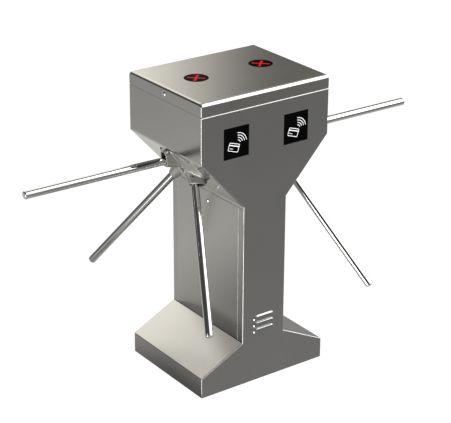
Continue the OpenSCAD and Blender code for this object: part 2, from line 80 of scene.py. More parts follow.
# ------------------------------------------------------------------ camera
cam_data = bpy.data.cameras.new("camera")
cam = bpy.data.objects.new("camera", cam_data)
scene.collection.objects.link(cam)
az, el, roll = math.radians(-36.07), math.radians(23.41), math.radians(0.29)
back = Vector((math.sin(az) * math.cos(el), -math.cos(az) * math.cos(el), math.sin(el)))
right = (-back).cross(Vector((0, 0, 1))).normalized()
up = right.cross(-back)
right2 = right * math.cos(roll) + up * math.sin(roll)
up2 = -right * math.sin(roll) + up * math.cos(roll)
M = Matrix((right2, up2, back)).transposed().to_4x4()
M.translation = Vector((-2.71151, -3.70862, 2.50250))
cam.matrix_world = M
cam_data.sensor_width = 36
cam_data.lens = 124.98
cam_data.clip_end = 60
cam_data.dof.use_dof = False
scene.camera = cam
scene.view_settings.view_transform = "Standard"
scene.view_settings.look = "None"
scene.cycles.use_denoising = True


# ------------------------------------------------------------------ node helpers
class Tree:
    def __init__(self, tree):
        self.t = tree
        self.n = tree.nodes
        self.l = tree.links

    def node(self, kind, **kw):
        n = self.n.new(kind)
        for k, v in kw.items():
            setattr(n, k, v)
        return n

    def put(self, socket, value):
        if isinstance(value, bpy.types.NodeSocket):
            self.l.new(value, socket)
        else:
            socket.default_value = value

    def math(self, op, a, b=0.0, c=None, clamp=False):
        n = self.node("ShaderNodeMath", operation=op, use_clamp=clamp)
        self.put(n.inputs[0], a)
        self.put(n.inputs[1], b)
        if c is not None:
            self.put(n.inputs[2], c)
        return n.outputs[0]

    def step(self, v, lo, hi, a=0.0, b=1.0):
        n = self.node("ShaderNodeMapRange", interpolation_type="SMOOTHSTEP", clamp=True)
        self.put(n.inputs["Value"], v)
        self.put(n.inputs["From Min"], lo)
        self.put(n.inputs["From Max"], hi)
        self.put(n.inputs["To Min"], a)
        self.put(n.inputs["To Max"], b)
        return n.outputs[0]

    def mixf(self, f, a, b):
        n = self.node("ShaderNodeMix", data_type="FLOAT")
        self.put(n.inputs[0], f)
        self.put(n.inputs[2], a)
        self.put(n.inputs[3], b)
        return n.outputs[0]

    def mixc(self, f, a, b, blend="MIX"):
        n = self.node("ShaderNodeMix", data_type="RGBA", blend_type=blend)
        self.put(n.inputs[0], f)
        self.put(n.inputs[6], a if isinstance(a, bpy.types.NodeSocket) else (*a, 1))
        self.put(n.inputs[7], b if isinstance(b, bpy.types.NodeSocket) else (*b, 1))
        return n.outputs[2]


# ------------------------------------------------------------------ surroundings
world = bpy.data.worlds.new("studio")
scene.world = world
world.use_nodes = True
w = Tree(world.node_tree)
w.n.clear()
geo = w.node("ShaderNodeTexCoord")
sep = w.node("ShaderNodeSeparateXYZ")
w.l.new(geo.outputs["Generated"], sep.inputs[0])
wx, wy, wz = sep.outputs
w_az = w.math("MULTIPLY", w.math("ARCTAN2", wx, wy), 57.29578)
w_el = w.math("MULTIPLY", w.math("ARCSINE", wz), 57.29578)


def window(azc, half, e0, e1, soft_a=8.0, soft_e=8.0):
    """A soft-edged patch of the surroundings, in degrees of azimuth and elevation."""
    d = w.math("ABSOLUTE", w.math("WRAP", w.math("SUBTRACT", w_az, azc), 180.0, -180.0))
    f = w.step(d, half + soft_a / 2, half - soft_a / 2)
    f = w.math("MULTIPLY", f, w.step(w_el, e0 - soft_e / 2, e0 + soft_e / 2))
    return w.math("MULTIPLY", f, w.step(w_el, e1 + soft_e / 2, e1 - soft_e / 2))


# (azimuth centre, half width, lowest, highest elevation, softness across, softness up, level)
low_front = w.step(w_el, -31.0, -17.0, 0.250, 0.172)
low_back = w.step(w_el, -25.0, -18.5, 0.56, 0.35)
over_slope = w.step(w_el, 37.0, 50.0, 1.20, 0.62)
PATCHES = [
    (-83, 69, 2, 44, 14, 8, 0.055),
    (-112, 40, 38, 62, 14, 8, 0.055),
    (-45, 22, 48, 70, 14, 8, 0.40),
    (-50, 32, -11, 6, 10, 6, 0.09),
    (-10, 10, 14, 60, 8, 8, 0.09),
    (-150, 23, 35, 72, 12, 16, 0.08),
    (152, 28, -40, 9, 14, 8, low_front),
    (-36, 40, -48, -6, 20, 12, low_back),
    (24, 34, -60, -24, 24, 16, 0.66),
    (-106, 11, -34, 10, 4, 4, 4.6),
    (18, 28, 26, 80, 12, 12, over_slope),
    (75, 50, -72, -44, 24, 8, 0.45),
    (116, 34, 12, 60, 4, 3, 3.0),
    (170, 17, 14, 54, 4, 6, 1.5),
    (-150, 18, 2, 38, 5, 6, 0.03),
]
level = w.step(w_el, -25.0, 10.0, 0.34, 0.24)
level = w.mixf(w.step(w_el, 60.0, 85.0), level, 0.45)
for azc, half, e0, e1, sa, se, value in PATCHES:
    level = w.mixf(window(azc, half, e0, e1, sa, se), level, value)
lp = w.node("ShaderNodeLightPath")
tint = w.mixc(w.step(w_el, -30.0, 20.0), (1.0, 0.985, 0.955), (1.0, 1.0, 1.0))
bg_env = w.node("ShaderNodeBackground")
w.l.new(tint, bg_env.inputs[0])
w.l.new(level, bg_env.inputs[1])
bg_cam = w.node("ShaderNodeBackground")
bg_cam.inputs[0].default_value = (1, 1, 1, 1)
bg_cam.inputs[1].default_value = 1.0
mix = w.node("ShaderNodeMixShader")
w.l.new(lp.outputs["Is Camera Ray"], mix.inputs[0])
w.l.new(bg_env.outputs[0], mix.inputs[1])
w.l.new(bg_cam.outputs[0], mix.inputs[2])
wo = w.node("ShaderNodeOutputWorld")
w.l.new(mix.outputs[0], wo.inputs[0])


def plane(name, centre, ux, uy):
    me = bpy.data.meshes.new(name)
    c, a, b = Vector(centre), Vector(ux), Vector(uy)
    me.from_pydata([c - a - b, c + a - b, c + a + b, c - a + b], [], [(0, 1, 2, 3)])
    ob = bpy.data.objects.new(name, me)
    scene.collection.objects.link(ob)
    return ob


floor = plane("floor", (0, 0, -0.0004), (9, 0, 0), (0, 9, 0))
fm = bpy.data.materials.new("pale_floor")
fm.use_nodes = True
f = Tree(fm.node_tree)
f.n.clear()
em = f.node("ShaderNodeEmission")
em.inputs[0].default_value = (1, 1, 1, 1)
em.inputs[1].default_value = 0.985
df = f.node("ShaderNodeBsdfDiffuse")
df.inputs[0].default_value = (0.12, 0.12, 0.12, 1)
ad = f.node("ShaderNodeAddShader")
fo = f.node("ShaderNodeOutputMaterial")
f.l.new(em.outputs[0], ad.inputs[0])
f.l.new(df.outputs[0], ad.inputs[1])
f.l.new(ad.outputs[0], fo.inputs[0])
floor.data.materials.append(fm)
floor.visible_glossy = False
floor.visible_diffuse = False


def card(name, centre, ux, uy, level_of, tint_=(1.0, 0.97, 0.88)):
    """A plain lit or dark panel of the studio, seen only in reflections."""
    ob = plane(name, centre, ux, uy)
    m = bpy.data.materials.new(name)
    m.use_nodes = True
    t = Tree(m.node_tree)
    t.n.clear()
    e = t.node("ShaderNodeEmission")
    e.inputs[0].default_value = (*tint_, 1)
    tc = t.node("ShaderNodeTexCoord")
    sp = t.node("ShaderNodeSeparateXYZ")
    t.l.new(tc.outputs["Object"], sp.inputs[0])
    level_, cover = level_of(t, *sp.outputs)
    t.l.new(level_, e.inputs[1])
    see = t.node("ShaderNodeBsdfTransparent")
    mx = t.node("ShaderNodeMixShader")
    t.put(mx.inputs[0], cover)
    t.l.new(see.outputs[0], mx.inputs[1])
    t.l.new(e.outputs[0], mx.inputs[2])
    o = t.node("ShaderNodeOutputMaterial")
    t.l.new(mx.outputs[0], o.inputs[0])
    ob.data.materials.append(m)
    ob.visible_camera = False
    ob.visible_shadow = False
    ob.visible_diffuse = False
    return ob


def rear_level(t, x, y, z):
    return t.step(x, 1.23, 2.53, 1.30, 0.15), t.math("MULTIPLY", t.step(z, 0.9, 1.4), t.step(x, -1.5, -0.9))


def ground_level(t, x, y, z):
    """Shade on the ground beside the cabinet, as its sides reflect it."""
    far = t.math("MULTIPLY_ADD", t.math("ADD", x, 0.4), 0.3, y)
    low = t.mixf(t.step(x, -0.40, -0.35), 0.16, t.step(x, -0.345, -0.245, 0.25, 0.115))
    v = t.mixf(t.step(far, 0.0, 0.80), low, 0.53)
    cover = t.math("MULTIPLY", t.step(x, -1.15, -0.75), t.step(y, 1.25, 0.95))
    near = t.math("MULTIPLY", t.step(y, -0.21, -0.19), t.step(x, -0.37, -0.34))
    return v, t.math("MULTIPLY", cover, t.math("MAXIMUM", near, t.step(y, 0.09, 0.16)))


card("rear_card", (1.2, 3.0, 2.3), (2.7, 0, 0), (0, 0, 1.4), rear_level)
card("ground_card", (-0.735, 0.2, -0.0002), (0.5, 0, 0), (0, 1.1, 0), ground_level, (1.0, 0.985, 0.95))


# ------------------------------------------------------------------ materials
def material(name):
    m = bpy.data.materials.new(name)
    m.use_nodes = True
    t = Tree(m.node_tree)
    return m, t, t.n["Principled BSDF"]


def noise_tex(t, scale, detail=3.0, rough=0.55, stretch=None):
    tc = t.node("ShaderNodeTexCoord")
    mp = t.node("ShaderNodeMapping")
    if stretch:
        mp.inputs["Scale"].default_value = stretch
    t.l.new(tc.outputs["Object"], mp.inputs[0])
    n = t.node("ShaderNodeTexNoise")
    n.inputs["Scale"].default_value = scale
    n.inputs["Detail"].default_value = detail
    n.inputs["Roughness"].default_value = rough
    t.l.new(mp.outputs[0], n.inputs["Vector"])
    return n.outputs["Fac"]


def bump(t, bsdf, height, strength, distance):
    b = t.node("ShaderNodeBump")
    b.inputs["Strength"].default_value = strength
    b.inputs["Distance"].default_value = distance
    t.l.new(height, b.inputs["Height"])
    t.l.new(b.outputs[0], bsdf.inputs["Normal"])


def brushed(name, color, rough, stretch, grain=0.035, cloud=0.02, strength=0.05):
    """Brushed sheet: fine lines along one direction, faint clouding, a little uneven gloss."""
    m, t, b = material(name)
    lines = noise_tex(t, 1.0, 4.0, 0.6, stretch)
    fine = noise_tex(t, 1.0, 2.0, 0.5, tuple(s * 3.1 for s in stretch))
    clouds = noise_tex(t, 3.2, 3.0, 0.5)
    both = t.math("MULTIPLY_ADD", fine, 0.4, t.math("MULTIPLY", lines, 0.6))
    k = t.step(both, 0.32, 0.68, 1.0 - grain, 1.0 + grain)
    k = t.math("MULTIPLY", k, t.step(clouds, 0.3, 0.7, 1.0 - cloud, 1.0 + cloud))
    col = t.mixc(t.math("MULTIPLY", k, 0.5), (0, 0, 0), tuple(2 * c for c in color))
    t.l.new(col, b.inputs["Base Color"])
    r = t.step(both, 0.3, 0.7, rough - 0.02, rough + 0.025)
    r = t.math("ADD", r, t.step(clouds, 0.3, 0.7, -0.012, 0.012))
    t.l.new(r, b.inputs["Roughness"])
    b.inputs["Metallic"].default_value = 1.0
    bump(t, b, both, strength, 0.00002)
    return m


def painted_shade_cover(name, *args):
    """Satin sheet with painted shade: the colour darkens towards the front corner at the column, and painted light
    brightens the left cover towards the back.
    """
    m = brushed(name, *args)
    t = Tree(m.node_tree)
    b = t.n["Principled BSDF"]
    col = b.inputs["Base Color"].links[0].from_socket
    tc = t.node("ShaderNodeTexCoord")
    sp = t.node("ShaderNodeSeparateXYZ")
    t.l.new(tc.outputs["Object"], sp.inputs[0])
    x, y, _ = sp.outputs
    u = t.math("MULTIPLY_ADD", x, 1 / 0.159, 0.241 / 0.159)
    u = t.math("MULTIPLY_ADD", y, -0.35 / 0.18, u)
    # painted shade: the left cover's colour darkens towards the column's front corner
    painted_shade = t.math("MULTIPLY", t.step(u, 0.68, 1.25, 0.0, 0.46), t.step(x, 0.0, -0.02))
    # painted light: the left cover's colour brightens towards the back
    painted_light = t.math("MULTIPLY", t.step(y, -0.05, 0.19, 0.0, 0.13), t.step(x, 0.0, -0.02))
    k = t.math("ADD", t.math("SUBTRACT", 1.0, painted_shade), painted_light)
    painted_tone_grey = t.node("ShaderNodeCombineColor")
    for i in range(3):
        t.l.new(k, painted_tone_grey.inputs[i])
    t.l.new(t.mixc(1.0, col, painted_tone_grey.outputs[0], "MULTIPLY"), b.inputs["Base Color"])
    return m


def polished(name, color, rough, smear=0.03, mottle=0.04):
    """Plated or polished metal with faint smears."""
    m, t, b = material(name)
    n = noise_tex(t, 22.0, 3.0, 0.55)
    s = noise_tex(t, 260.0, 2.0, 0.5)
    t.l.new(t.mixc(t.step(n, 0.35, 0.7), tuple(c * (1 - mottle) for c in color), color), b.inputs["Base Color"])
    t.l.new(t.math("ADD", t.step(n, 0.4, 0.75, rough, rough + smear), t.step(s, 0.4, 0.7, 0.0, smear * 0.4)), b.inputs["Roughness"])
    b.inputs["Metallic"].default_value = 1.0
    bump(t, b, s, 0.05, 0.00003)
    return m


def cast(name, color, rough, grain=220.0, depth=0.0002, metallic=1.0, mottle=0.12):
    """Cast or ground metal: a fine pebbled skin, uneven tone."""
    m, t, b = material(name)
    n = noise_tex(t, 14.0, 4.0, 0.6)
    g = noise_tex(t, grain, 3.0, 0.6)
    both = t.math("MULTIPLY_ADD", g, 0.5, t.math("MULTIPLY", n, 0.5))
    t.l.new(t.mixc(t.step(both, 0.3, 0.7), tuple(c * (1 - mottle) for c in color), tuple(min(1, c * (1 + mottle)) for c in color)), b.inputs["Base Color"])
    t.l.new(t.step(both, 0.3, 0.7, rough - 0.06, rough + 0.08), b.inputs["Roughness"])
    b.inputs["Metallic"].default_value = metallic
    bump(t, b, g, 0.35, depth)
    return m


def cast_with_painted_shade(name, *args):
    """Cast metal with painted shade in its hollows: an ambient-occlusion mask darkens the colour there."""
    m = cast(name, *args)
    t = Tree(m.node_tree)
    b = t.n["Principled BSDF"]
    col = b.inputs["Base Color"].links[0].from_socket
    occlusion_shade = t.node("ShaderNodeAmbientOcclusion", samples=8)
    occlusion_shade.inputs["Distance"].default_value = 0.022
    # painted shade: the colour darkens where ambient occlusion finds hollows and gaps
    k = t.step(occlusion_shade.outputs["AO"], 0.08, 0.62, 0.10, 1.0)
    painted_tone_grey = t.node("ShaderNodeCombineColor")
    for i in range(3):
        t.l.new(k, painted_tone_grey.inputs[i])
    t.l.new(t.mixc(1.0, col, painted_tone_grey.outputs[0], "MULTIPLY"), b.inputs["Base Color"])
    return m


def plastic(name, color, rough, grain=900.0, depth=0.00008, coat=0.0, mottle=0.25, ior=1.5):
    """Painted or moulded surface: fine texture and faint tone change."""
    m, t, b = material(name)
    n = noise_tex(t, 9.0, 3.0, 0.5)
    g = noise_tex(t, grain, 2.0, 0.5)
    t.l.new(t.mixc(t.step(n, 0.3, 0.7), tuple(c * (1 - mottle) for c in color), tuple(min(1, c * (1 + mottle)) for c in color)), b.inputs["Base Color"])
    t.l.new(t.math("ADD", t.step(g, 0.3, 0.7, rough - 0.03, rough + 0.04), t.step(n, 0.3, 0.7, -0.02, 0.03)), b.inputs["Roughness"])
    b.inputs["IOR"].default_value = ior
    if coat:
        b.inputs["Coat Weight"].default_value = coat
        b.inputs["Coat Roughness"].default_value = 0.05
    bump(t, b, g, 0.3, depth)
    return m


MAT = {
    "base_steel": cast("base_plate_paint", (0.16, 0.16, 0.165), 0.55, 300, 0.00025, 0.0),
    "rubber": plastic("black_rubber", (0.02, 0.02, 0.021), 0.7, 500, 0.0002),
    "frame_paint": plastic("frame_powder_coat", (0.055, 0.058, 0.062), 0.5, 700, 0.0002),
    "front_steel": brushed("front_brushed_steel", (0.60, 0.60, 0.59), 0.24, (2400, 9, 9)),
    "side_steel": brushed("side_brushed_steel", (0.62, 0.62, 0.60), 0.17, (9, 2400, 9)),
    # the base covers' colour carries painted shade near the column and painted light towards the back
    "base_cover": painted_shade_cover("base_cover_satin_painted_shade", (0.62, 0.615, 0.60), 0.30, (9, 2400, 9), 0.05, 0.03),
    "lid_steel": brushed("lid_brushed_steel", (0.62, 0.615, 0.595), 0.20, (6, 900, 6), 0.02, 0.012, 0.02),
    "screw_steel": polished("screw_steel", (0.72, 0.72, 0.71), 0.16, 0.08),
    "indicator_lens": plastic("indicator_lens", (0.010, 0.002, 0.003), 0.10, 600, 0.00002, 0.6),
    "circuit_board": plastic("circuit_board", (0.012, 0.075, 0.035), 0.42, 800, 0.0001),
    "lock_chrome": polished("lock_chrome", (0.86, 0.86, 0.85), 0.08),
    "lock_zinc": cast("lock_zinc", (0.90, 0.90, 0.89), 0.55, 500, 0.00006, 1.0, 0.04),
    "reader_glass": plastic("reader_glass", (0.0022, 0.0022, 0.0028), 0.09, 500, 0.00001, 0.0, 0.25, 1.16),
    "black_plastic": plastic("black_plastic", (0.014, 0.014, 0.015), 0.48),
    "supply_case": brushed("supply_case", (0.62, 0.63, 0.64), 0.36, (5, 5, 380)),
    # the hub's colour carries painted shade in its hollows
    "hub_steel": cast_with_painted_shade("hub_cast_steel_painted_shade", (0.73, 0.73, 0.705), 0.48, 420, 0.00006, 1.0, 0.05),
    "arm_chrome": polished("arm_chrome", (0.90, 0.90, 0.885), 0.035, 0.02),
    "machined_steel": polished("machined_steel", (0.66, 0.66, 0.65), 0.2, 0.08),
    "cam_steel": cast("ground_cam_steel", (0.42, 0.40, 0.37), 0.33, 420, 0.00008),
    "chassis_zinc": cast("zinc_plated_chassis", (0.55, 0.56, 0.55), 0.38, 60, 0.00008),
    "cast_housing": cast("cast_housing", (0.33, 0.33, 0.33), 0.5, 260, 0.0003, 0.9),
    "solenoid": plastic("solenoid_lacquer", (0.022, 0.022, 0.026), 0.38),
}
slot_of = {s["node"]: s["material_slot"] for s in frame["record"]["subparts"]}
body_of = {n: b for b, ns in frame["record"]["behaviour"]["bodies"].items() for n in ns}
for name, ob in NODE.items():
    ob.data.materials.clear()
    ob.data.materials.append(MAT[slot_of[name]])


# ------------------------------------------------------------------ mesh helpers
def mesh_object(name, bm, mat, sharp=35.0, weighted=True):
    """Object from a bmesh in mm, with crisp edges above an angle."""
    bmesh.ops.remove_doubles(bm, verts=bm.verts, dist=0.0005)
    bmesh.ops.recalc_face_normals(bm, faces=bm.faces)
    for fc in bm.faces:
        fc.smooth = True
    lim = math.radians(sharp)
    for e in bm.edges:
        if len(e.link_faces) == 2 and e.calc_face_angle(0) > lim:
            e.smooth = False
    bmesh.ops.scale(bm, vec=(MM, MM, MM), verts=bm.verts)
    me = bpy.data.meshes.new(name)
    bm.to_mesh(me)
    bm.free()
    me.materials.append(mat)
    ob = bpy.data.objects.new(name, me)
    scene.collection.objects.link(ob)
    if weighted:
        md = ob.modifiers.new("normals", "WEIGHTED_NORMAL")
        md.keep_sharp = True
        md.weight = 50
    return ob


def attach(ob, body, slot, *nodes):
    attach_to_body(ob, body)
    if nodes:
        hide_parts(*nodes)
    return ob


def revolve(bm, profile, seg=96, matrix=None, closed=True):
    """Turn a list of (r, z) round +z. Points with r = 0 become poles."""
    rings = []
    for r, z in profile:
        if r < 1e-6:
            rings.append([bm.verts.new((0, 0, z))])
        else:
            rings.append([bm.verts.new((r * math.cos(2 * math.pi * i / seg), r * math.sin(2 * math.pi * i / seg), z)) for i in range(seg)])
    n = len(rings)
    pairs = [(i, i + 1) for i in range(n - 1)] + ([(n - 1, 0)] if closed else [])
    for a, b in pairs:
        A, B = rings[a], rings[b]
        if len(A) == 1 and len(B) == 1:
            continue
        for i in range(seg):
            j = (i + 1) % seg
            if len(A) == 1:
                bm.faces.new((A[0], B[j], B[i]))
            elif len(B) == 1:
                bm.faces.new((A[i], A[j], B[0]))
            else:
                bm.faces.new((A[i], A[j], B[j], B[i]))
    vs = [v for ring in rings for v in ring]
    if matrix is not None:
        bmesh.ops.transform(bm, matrix=matrix, verts=vs)
    return vs


def arc(cx, cz, r, a0, a1, n=6):
    return [(cx + r * math.cos(math.radians(a0 + (a1 - a0) * i / n)), cz + r * math.sin(math.radians(a0 + (a1 - a0) * i / n))) for i in range(n + 1)]


# ------------------------------------------------------------------ arms
def to_world(side):
    """mm in the rotor frame -> mm in the part frame"""
    m = local_matrix(side)
    m.translation = m.translation / MM
    return m


for side in ("left", "right"):
    for k in range(3):
        bm = bmesh.new()
        end = ARM_REACH - 8
        prof = [(11.2, 57.0), (12.68, 57.0), (12.68, 58.0)] + [(12.68, 58 + (end - 58.9) * i / 24) for i in range(1, 25)] + \
               [(12.6, end - 0.5), (12.33, end - 0.1), (11.2, end - 0.1)]
        revolve(bm, prof, 96, to_world(side) @ arm_matrix(side, k))
        ob = mesh_object(f"{side}_arm_tube_{k + 1}", bm, MAT["arm_chrome"], 30)
        attach(ob, f"{side}_rotor", "arm_chrome", f"{side}_arm_{k + 1}")
    bm = bmesh.new()
    for k in range(3):
        prof = [(0, -16), (11.0, -16), (11.0, 0.1)] + arc(12.25, 0.6, 0.4, -90, 0, 3) + [(12.65, 3.0)] + arc(7.7, 3.0, 4.95, 0, 90, 10)[1:] + [(0, 7.95)]
        revolve(bm, prof, 96, to_world(side) @ arm_matrix(side, k) @ Matrix.Translation((0, 0, ARM_REACH - 8)), closed=False)
    ob = mesh_object(f"{side}_arm_end_caps", bm, MAT["arm_chrome"], 30)
    attach(ob, f"{side}_rotor", "arm_chrome", f"{side}_arm_caps")


# ------------------------------------------------------------------ sheet metal helpers
def offset_poly(pts, d):
    """Closed outline (counter-clockwise) moved inwards by d with mitred corners."""
    out = []
    n = len(pts)
    for i in range(n):
        p, q, r = Vector(pts[i - 1]), Vector(pts[i]), Vector(pts[(i + 1) % n])
        a, b = (q - p).normalized(), (r - q).normalized()
        na, nb = Vector((-a.y, a.x)), Vector((-b.y, b.x))
        k = (na + nb) / (1 + na.dot(nb))
        out.append(q + k * d)
    return out


def inside(pt, poly):
    x, y = pt
    r = False
    n = len(poly)
    for i in range(n):
        x0, y0 = poly[i][0], poly[i][1]
        x1, y1 = poly[(i + 1) % n][0], poly[(i + 1) % n][1]
        if (y0 > y) != (y1 > y) and x < (x1 - x0) * (y - y0) / (y1 - y0) + x0:
            r = not r
    return r


def fill(bm, outer, holes, place):
    """Triangulated flat face with holes. place turns a 2-D point into a 3-D one."""
    loops = [[Vector((v[0], v[1])) for v in lp] for lp in [outer] + holes]
    verts, edges = [], []
    for lp in loops:
        b = len(verts)
        verts += lp
        edges += [(b + i, b + (i + 1) % len(lp)) for i in range(len(lp))]
    vs, _, faces, *_ = geometry.delaunay_2d_cdt(verts, edges, [], 0, 1e-4)
    made = [bm.verts.new(place(v[0], v[1])) for v in vs]
    for fc in faces:
        c = (sum(vs[i].x for i in fc) / 3, sum(vs[i].y for i in fc) / 3)
        if inside(c, outer) and not any(inside(c, h) for h in holes):
            bm.faces.new([made[i] for i in fc])


def circle(cx, cy, r, n=64):
    return [(cx + r * math.cos(2 * math.pi * i / n), cy + r * math.sin(2 * math.pi * i / n)) for i in range(n)]


def rect(x0, y0, x1, y1):
    return [(x0, y0), (x1, y0), (x1, y1), (x0, y1)]


def slot_hole(x0, y0, x1, y1, r, n=5):
    out = []
    for cx, cy, a in ((x1 - r, y0 + r, -90), (x1 - r, y1 - r, 0), (x0 + r, y1 - r, 90), (x0 + r, y0 + r, 180)):
        out += [(cx + r * math.cos(math.radians(a + 90 * i / n)), cy + r * math.sin(math.radians(a + 90 * i / n))) for i in range(n + 1)]
    return out


def solid(ob, t, even=True):
    """The sheet's thickness, added on the inner side."""
    md = ob.modifiers.new("thickness", "SOLIDIFY")
    md.thickness = t * MM
    md.offset = -1.0
    md.use_even_offset = even
    md.use_quality_normals = True
    wn = ob.modifiers.new("normals", "WEIGHTED_NORMAL")
    wn.keep_sharp = True
    wn.weight = 50
    return ob


def sheet_object(name, bm, mat, outward, t, sharp=28.0):
    """Thin sheet from a one-sided bmesh in mm. outward: a point and a direction that its face there looks in."""
    bmesh.ops.remove_doubles(bm, verts=bm.verts, dist=0.002)
    bmesh.ops.recalc_face_normals(bm, faces=bm.faces)
    point, direction = outward
    best = min(bm.faces, key=lambda fc: (fc.calc_center_median() - Vector(point)).length)
    best.normal_update()
    if best.normal.dot(Vector(direction)) < 0:
        bmesh.ops.reverse_faces(bm, faces=bm.faces)
    for fc in bm.faces:
        fc.smooth = True
    lim = math.radians(sharp)
    for e in bm.edges:
        if len(e.link_faces) != 2 or e.calc_face_angle(0) > lim:
            e.smooth = False
    bmesh.ops.scale(bm, vec=(MM, MM, MM), verts=bm.verts)
    me = bpy.data.meshes.new(name)
    bm.to_mesh(me)
    bm.free()
    me.materials.append(mat)
    ob = bpy.data.objects.new(name, me)
    scene.collection.objects.link(ob)
    return solid(ob, t)


# ------------------------------------------------------------------ front and rear skins
BEND = 4.5
OUTLINE = [(-HW, 0), (HW, 0), (HW, LIP_Z), (CW, SLOPE_Z), (CW, NECK_Z), (HW, HEAD_Z), (HW, SEAM_Z), (-HW, SEAM_Z),
           (-HW, HEAD_Z), (-CW, NECK_Z), (-CW, SLOPE_Z), (-HW, LIP_Z)]
LOUVRE_Z, PITCH, LOUVRE_W = 171.0, 22.5, 80.0
WIN_X, WIN_Z, WIN_W, WIN_H = 113.0, 835.7, 93.0, 98.5


def skin(name, windows, screws, node):
    sgn = 1.0 if windows else -1.0

    def at(x, z, y):
        return (x * sgn, y * sgn, z)

    bm = bmesh.new()
    # bend all round, flat face inside it; the lower edge stays plain
    rings = []
    steps = 7
    for i in range(steps + 1):
        a = math.radians(90 * i / steps)
        d = BEND * (1 - math.cos(a))
        y = -HD + BEND * (1 - math.sin(a))
        ring = offset_poly(OUTLINE, d)
        ring = [Vector((max(-HW + d, min(HW - d, v.x)), 0.0 if abs(OUTLINE[j][1]) < 1e-6 else v.y)) for j, v in enumerate(ring)]
        rings.append((ring, y))
    ring = offset_poly(OUTLINE, BEND + 1.5)
    rings.append(([Vector((max(-HW + BEND + 1.5, min(HW - BEND - 1.5, v.x)), 0.0 if abs(OUTLINE[j][1]) < 1e-6 else v.y)) for j, v in enumerate(ring)], -HD))
    made = [[bm.verts.new(at(v.x, v.y, y)) for v in r] for r, y in rings]
    n = len(OUTLINE)
    for a, b in zip(made[:-1], made[1:]):
        for i in range(1, n):
            j = (i + 1) % n
            bm.faces.new((a[i], a[j], b[j], b[i]))
    holes = [slot_hole(-LOUVRE_W / 2 + 9, LOUVRE_Z + k * PITCH + 0.6, LOUVRE_W / 2 - 9, LOUVRE_Z + k * PITCH + 7, 1.5) for k in range(3)]
    if windows:
        for sx in (-1, 1):
            g = 0.4
            holes.append(slot_hole(sx * WIN_X - WIN_W / 2 - g, WIN_Z - WIN_H / 2 - g, sx * WIN_X + WIN_W / 2 + g, WIN_Z + WIN_H / 2 + g, 1.0, 3))
    for x, z in screws:
        holes.append(circle(x, z, 2.8, 24))
    fill(bm, [(v.x, v.y) for v in rings[-1][0]], holes, lambda x, z: at(x, z, -HD))
    # returns along the column
    for i, j in ((3, 4), (9, 10)):
        p, q = OUTLINE[i], OUTLINE[j]
        sx = 1 if p[0] > 0 else -1
        z0, z1 = SLOPE_Z + 2, NECK_Z - 9
        vs = [bm.verts.new(at(sx * CW, z, y)) for z, y in ((z0, -HD + BEND), (z1, -HD + BEND), (z1, -HD + 27.4), (z0, -HD + 27.4))]
        bm.faces.new(vs)
        # the return's own edge turns in, with a small radius
        pr = [(CW - 1.2 * (1 - math.cos(math.radians(b))), -HD + 27.4 + 1.2 * math.sin(math.radians(b))) for b in (0, 30, 60, 90)]
        pr += [(CW - 6, -HD + 28.6)]
        prev = None
        for r_, y_ in pr:
            cur = [bm.verts.new(at(sx * r_, z, y_)) for z in (z0, z1)]
            if prev:
                bm.faces.new((prev[0], prev[1], cur[1], cur[0]))
            prev = cur
    ob = sheet_object(name, bm, MAT["front_steel"], ((0, sgn * -HD, 500), (0, -sgn, 0)), T)
    attach(ob, "cabinet", "front_steel", node)
    return ob


REAR_SCREWS = [(sx * 66, z) for sx in (-1, 1) for z in (200, 330, 460, 590)] + \
              [(sx * (HW - 12), z) for sx in (-1, 1) for z in (806, 905, 34)]
front_skin = skin("front_skin", True, [], "front_panel")
rear_skin = skin("rear_skin", False, REAR_SCREWS, "rear_panel")


# pressed louvres, mouths down
def louvres(name, sgn):
    bm = bmesh.new()
    for k in range(3):
        z0 = LOUVRE_Z + k * PITCH
        half = LOUVRE_W / 2 - 13.5
        dirs = [(half, a) for a in range(0, 91, 9)] + [(half * (1 - 2 * i / 8), 90) for i in range(1, 8)] + [(-half, a) for a in range(90, 181, 9)]
        rhos = [15.6, 14.9, 14.4, 13.9, 13.3, 12.7, 12.2, 11.6, 10.5, 8.0, 4.5, 0.0]
        outs = [0.0, 0.12, 0.5, 1.25, 2.35, 3.3, 3.95, 4.3, 4.55, 4.75, 4.9, 5.0]
        grid = []
        for cx, a in dirs:
            col = []
            for rho, out in zip(rhos, outs):
                ar = math.radians(a)
                col.append(bm.verts.new(((cx + rho * math.cos(ar)) * sgn, sgn * (-HD - out + 0.02), z0 + rho * math.sin(ar))))
            grid.append(col)
        for c0, c1 in zip(grid[:-1], grid[1:]):
            for j in range(len(rhos) - 1):
                vs = [c0[j], c1[j], c1[j + 1], c0[j + 1]]
                if (vs[2].co - vs[3].co).length < 1e-6:
                    vs = vs[:3]
                bm.faces.new(vs)
    ob = sheet_object(name, bm, MAT["front_steel"], ((0, sgn * -HD - 5 * sgn, LOUVRE_Z + 3), (0, -sgn, 0)), 1.4, 60)
    return ob


attach(louvres("front_louvres", 1.0), "cabinet", "front_steel")
attach(louvres("rear_louvres", -1.0), "cabinet", "front_steel")


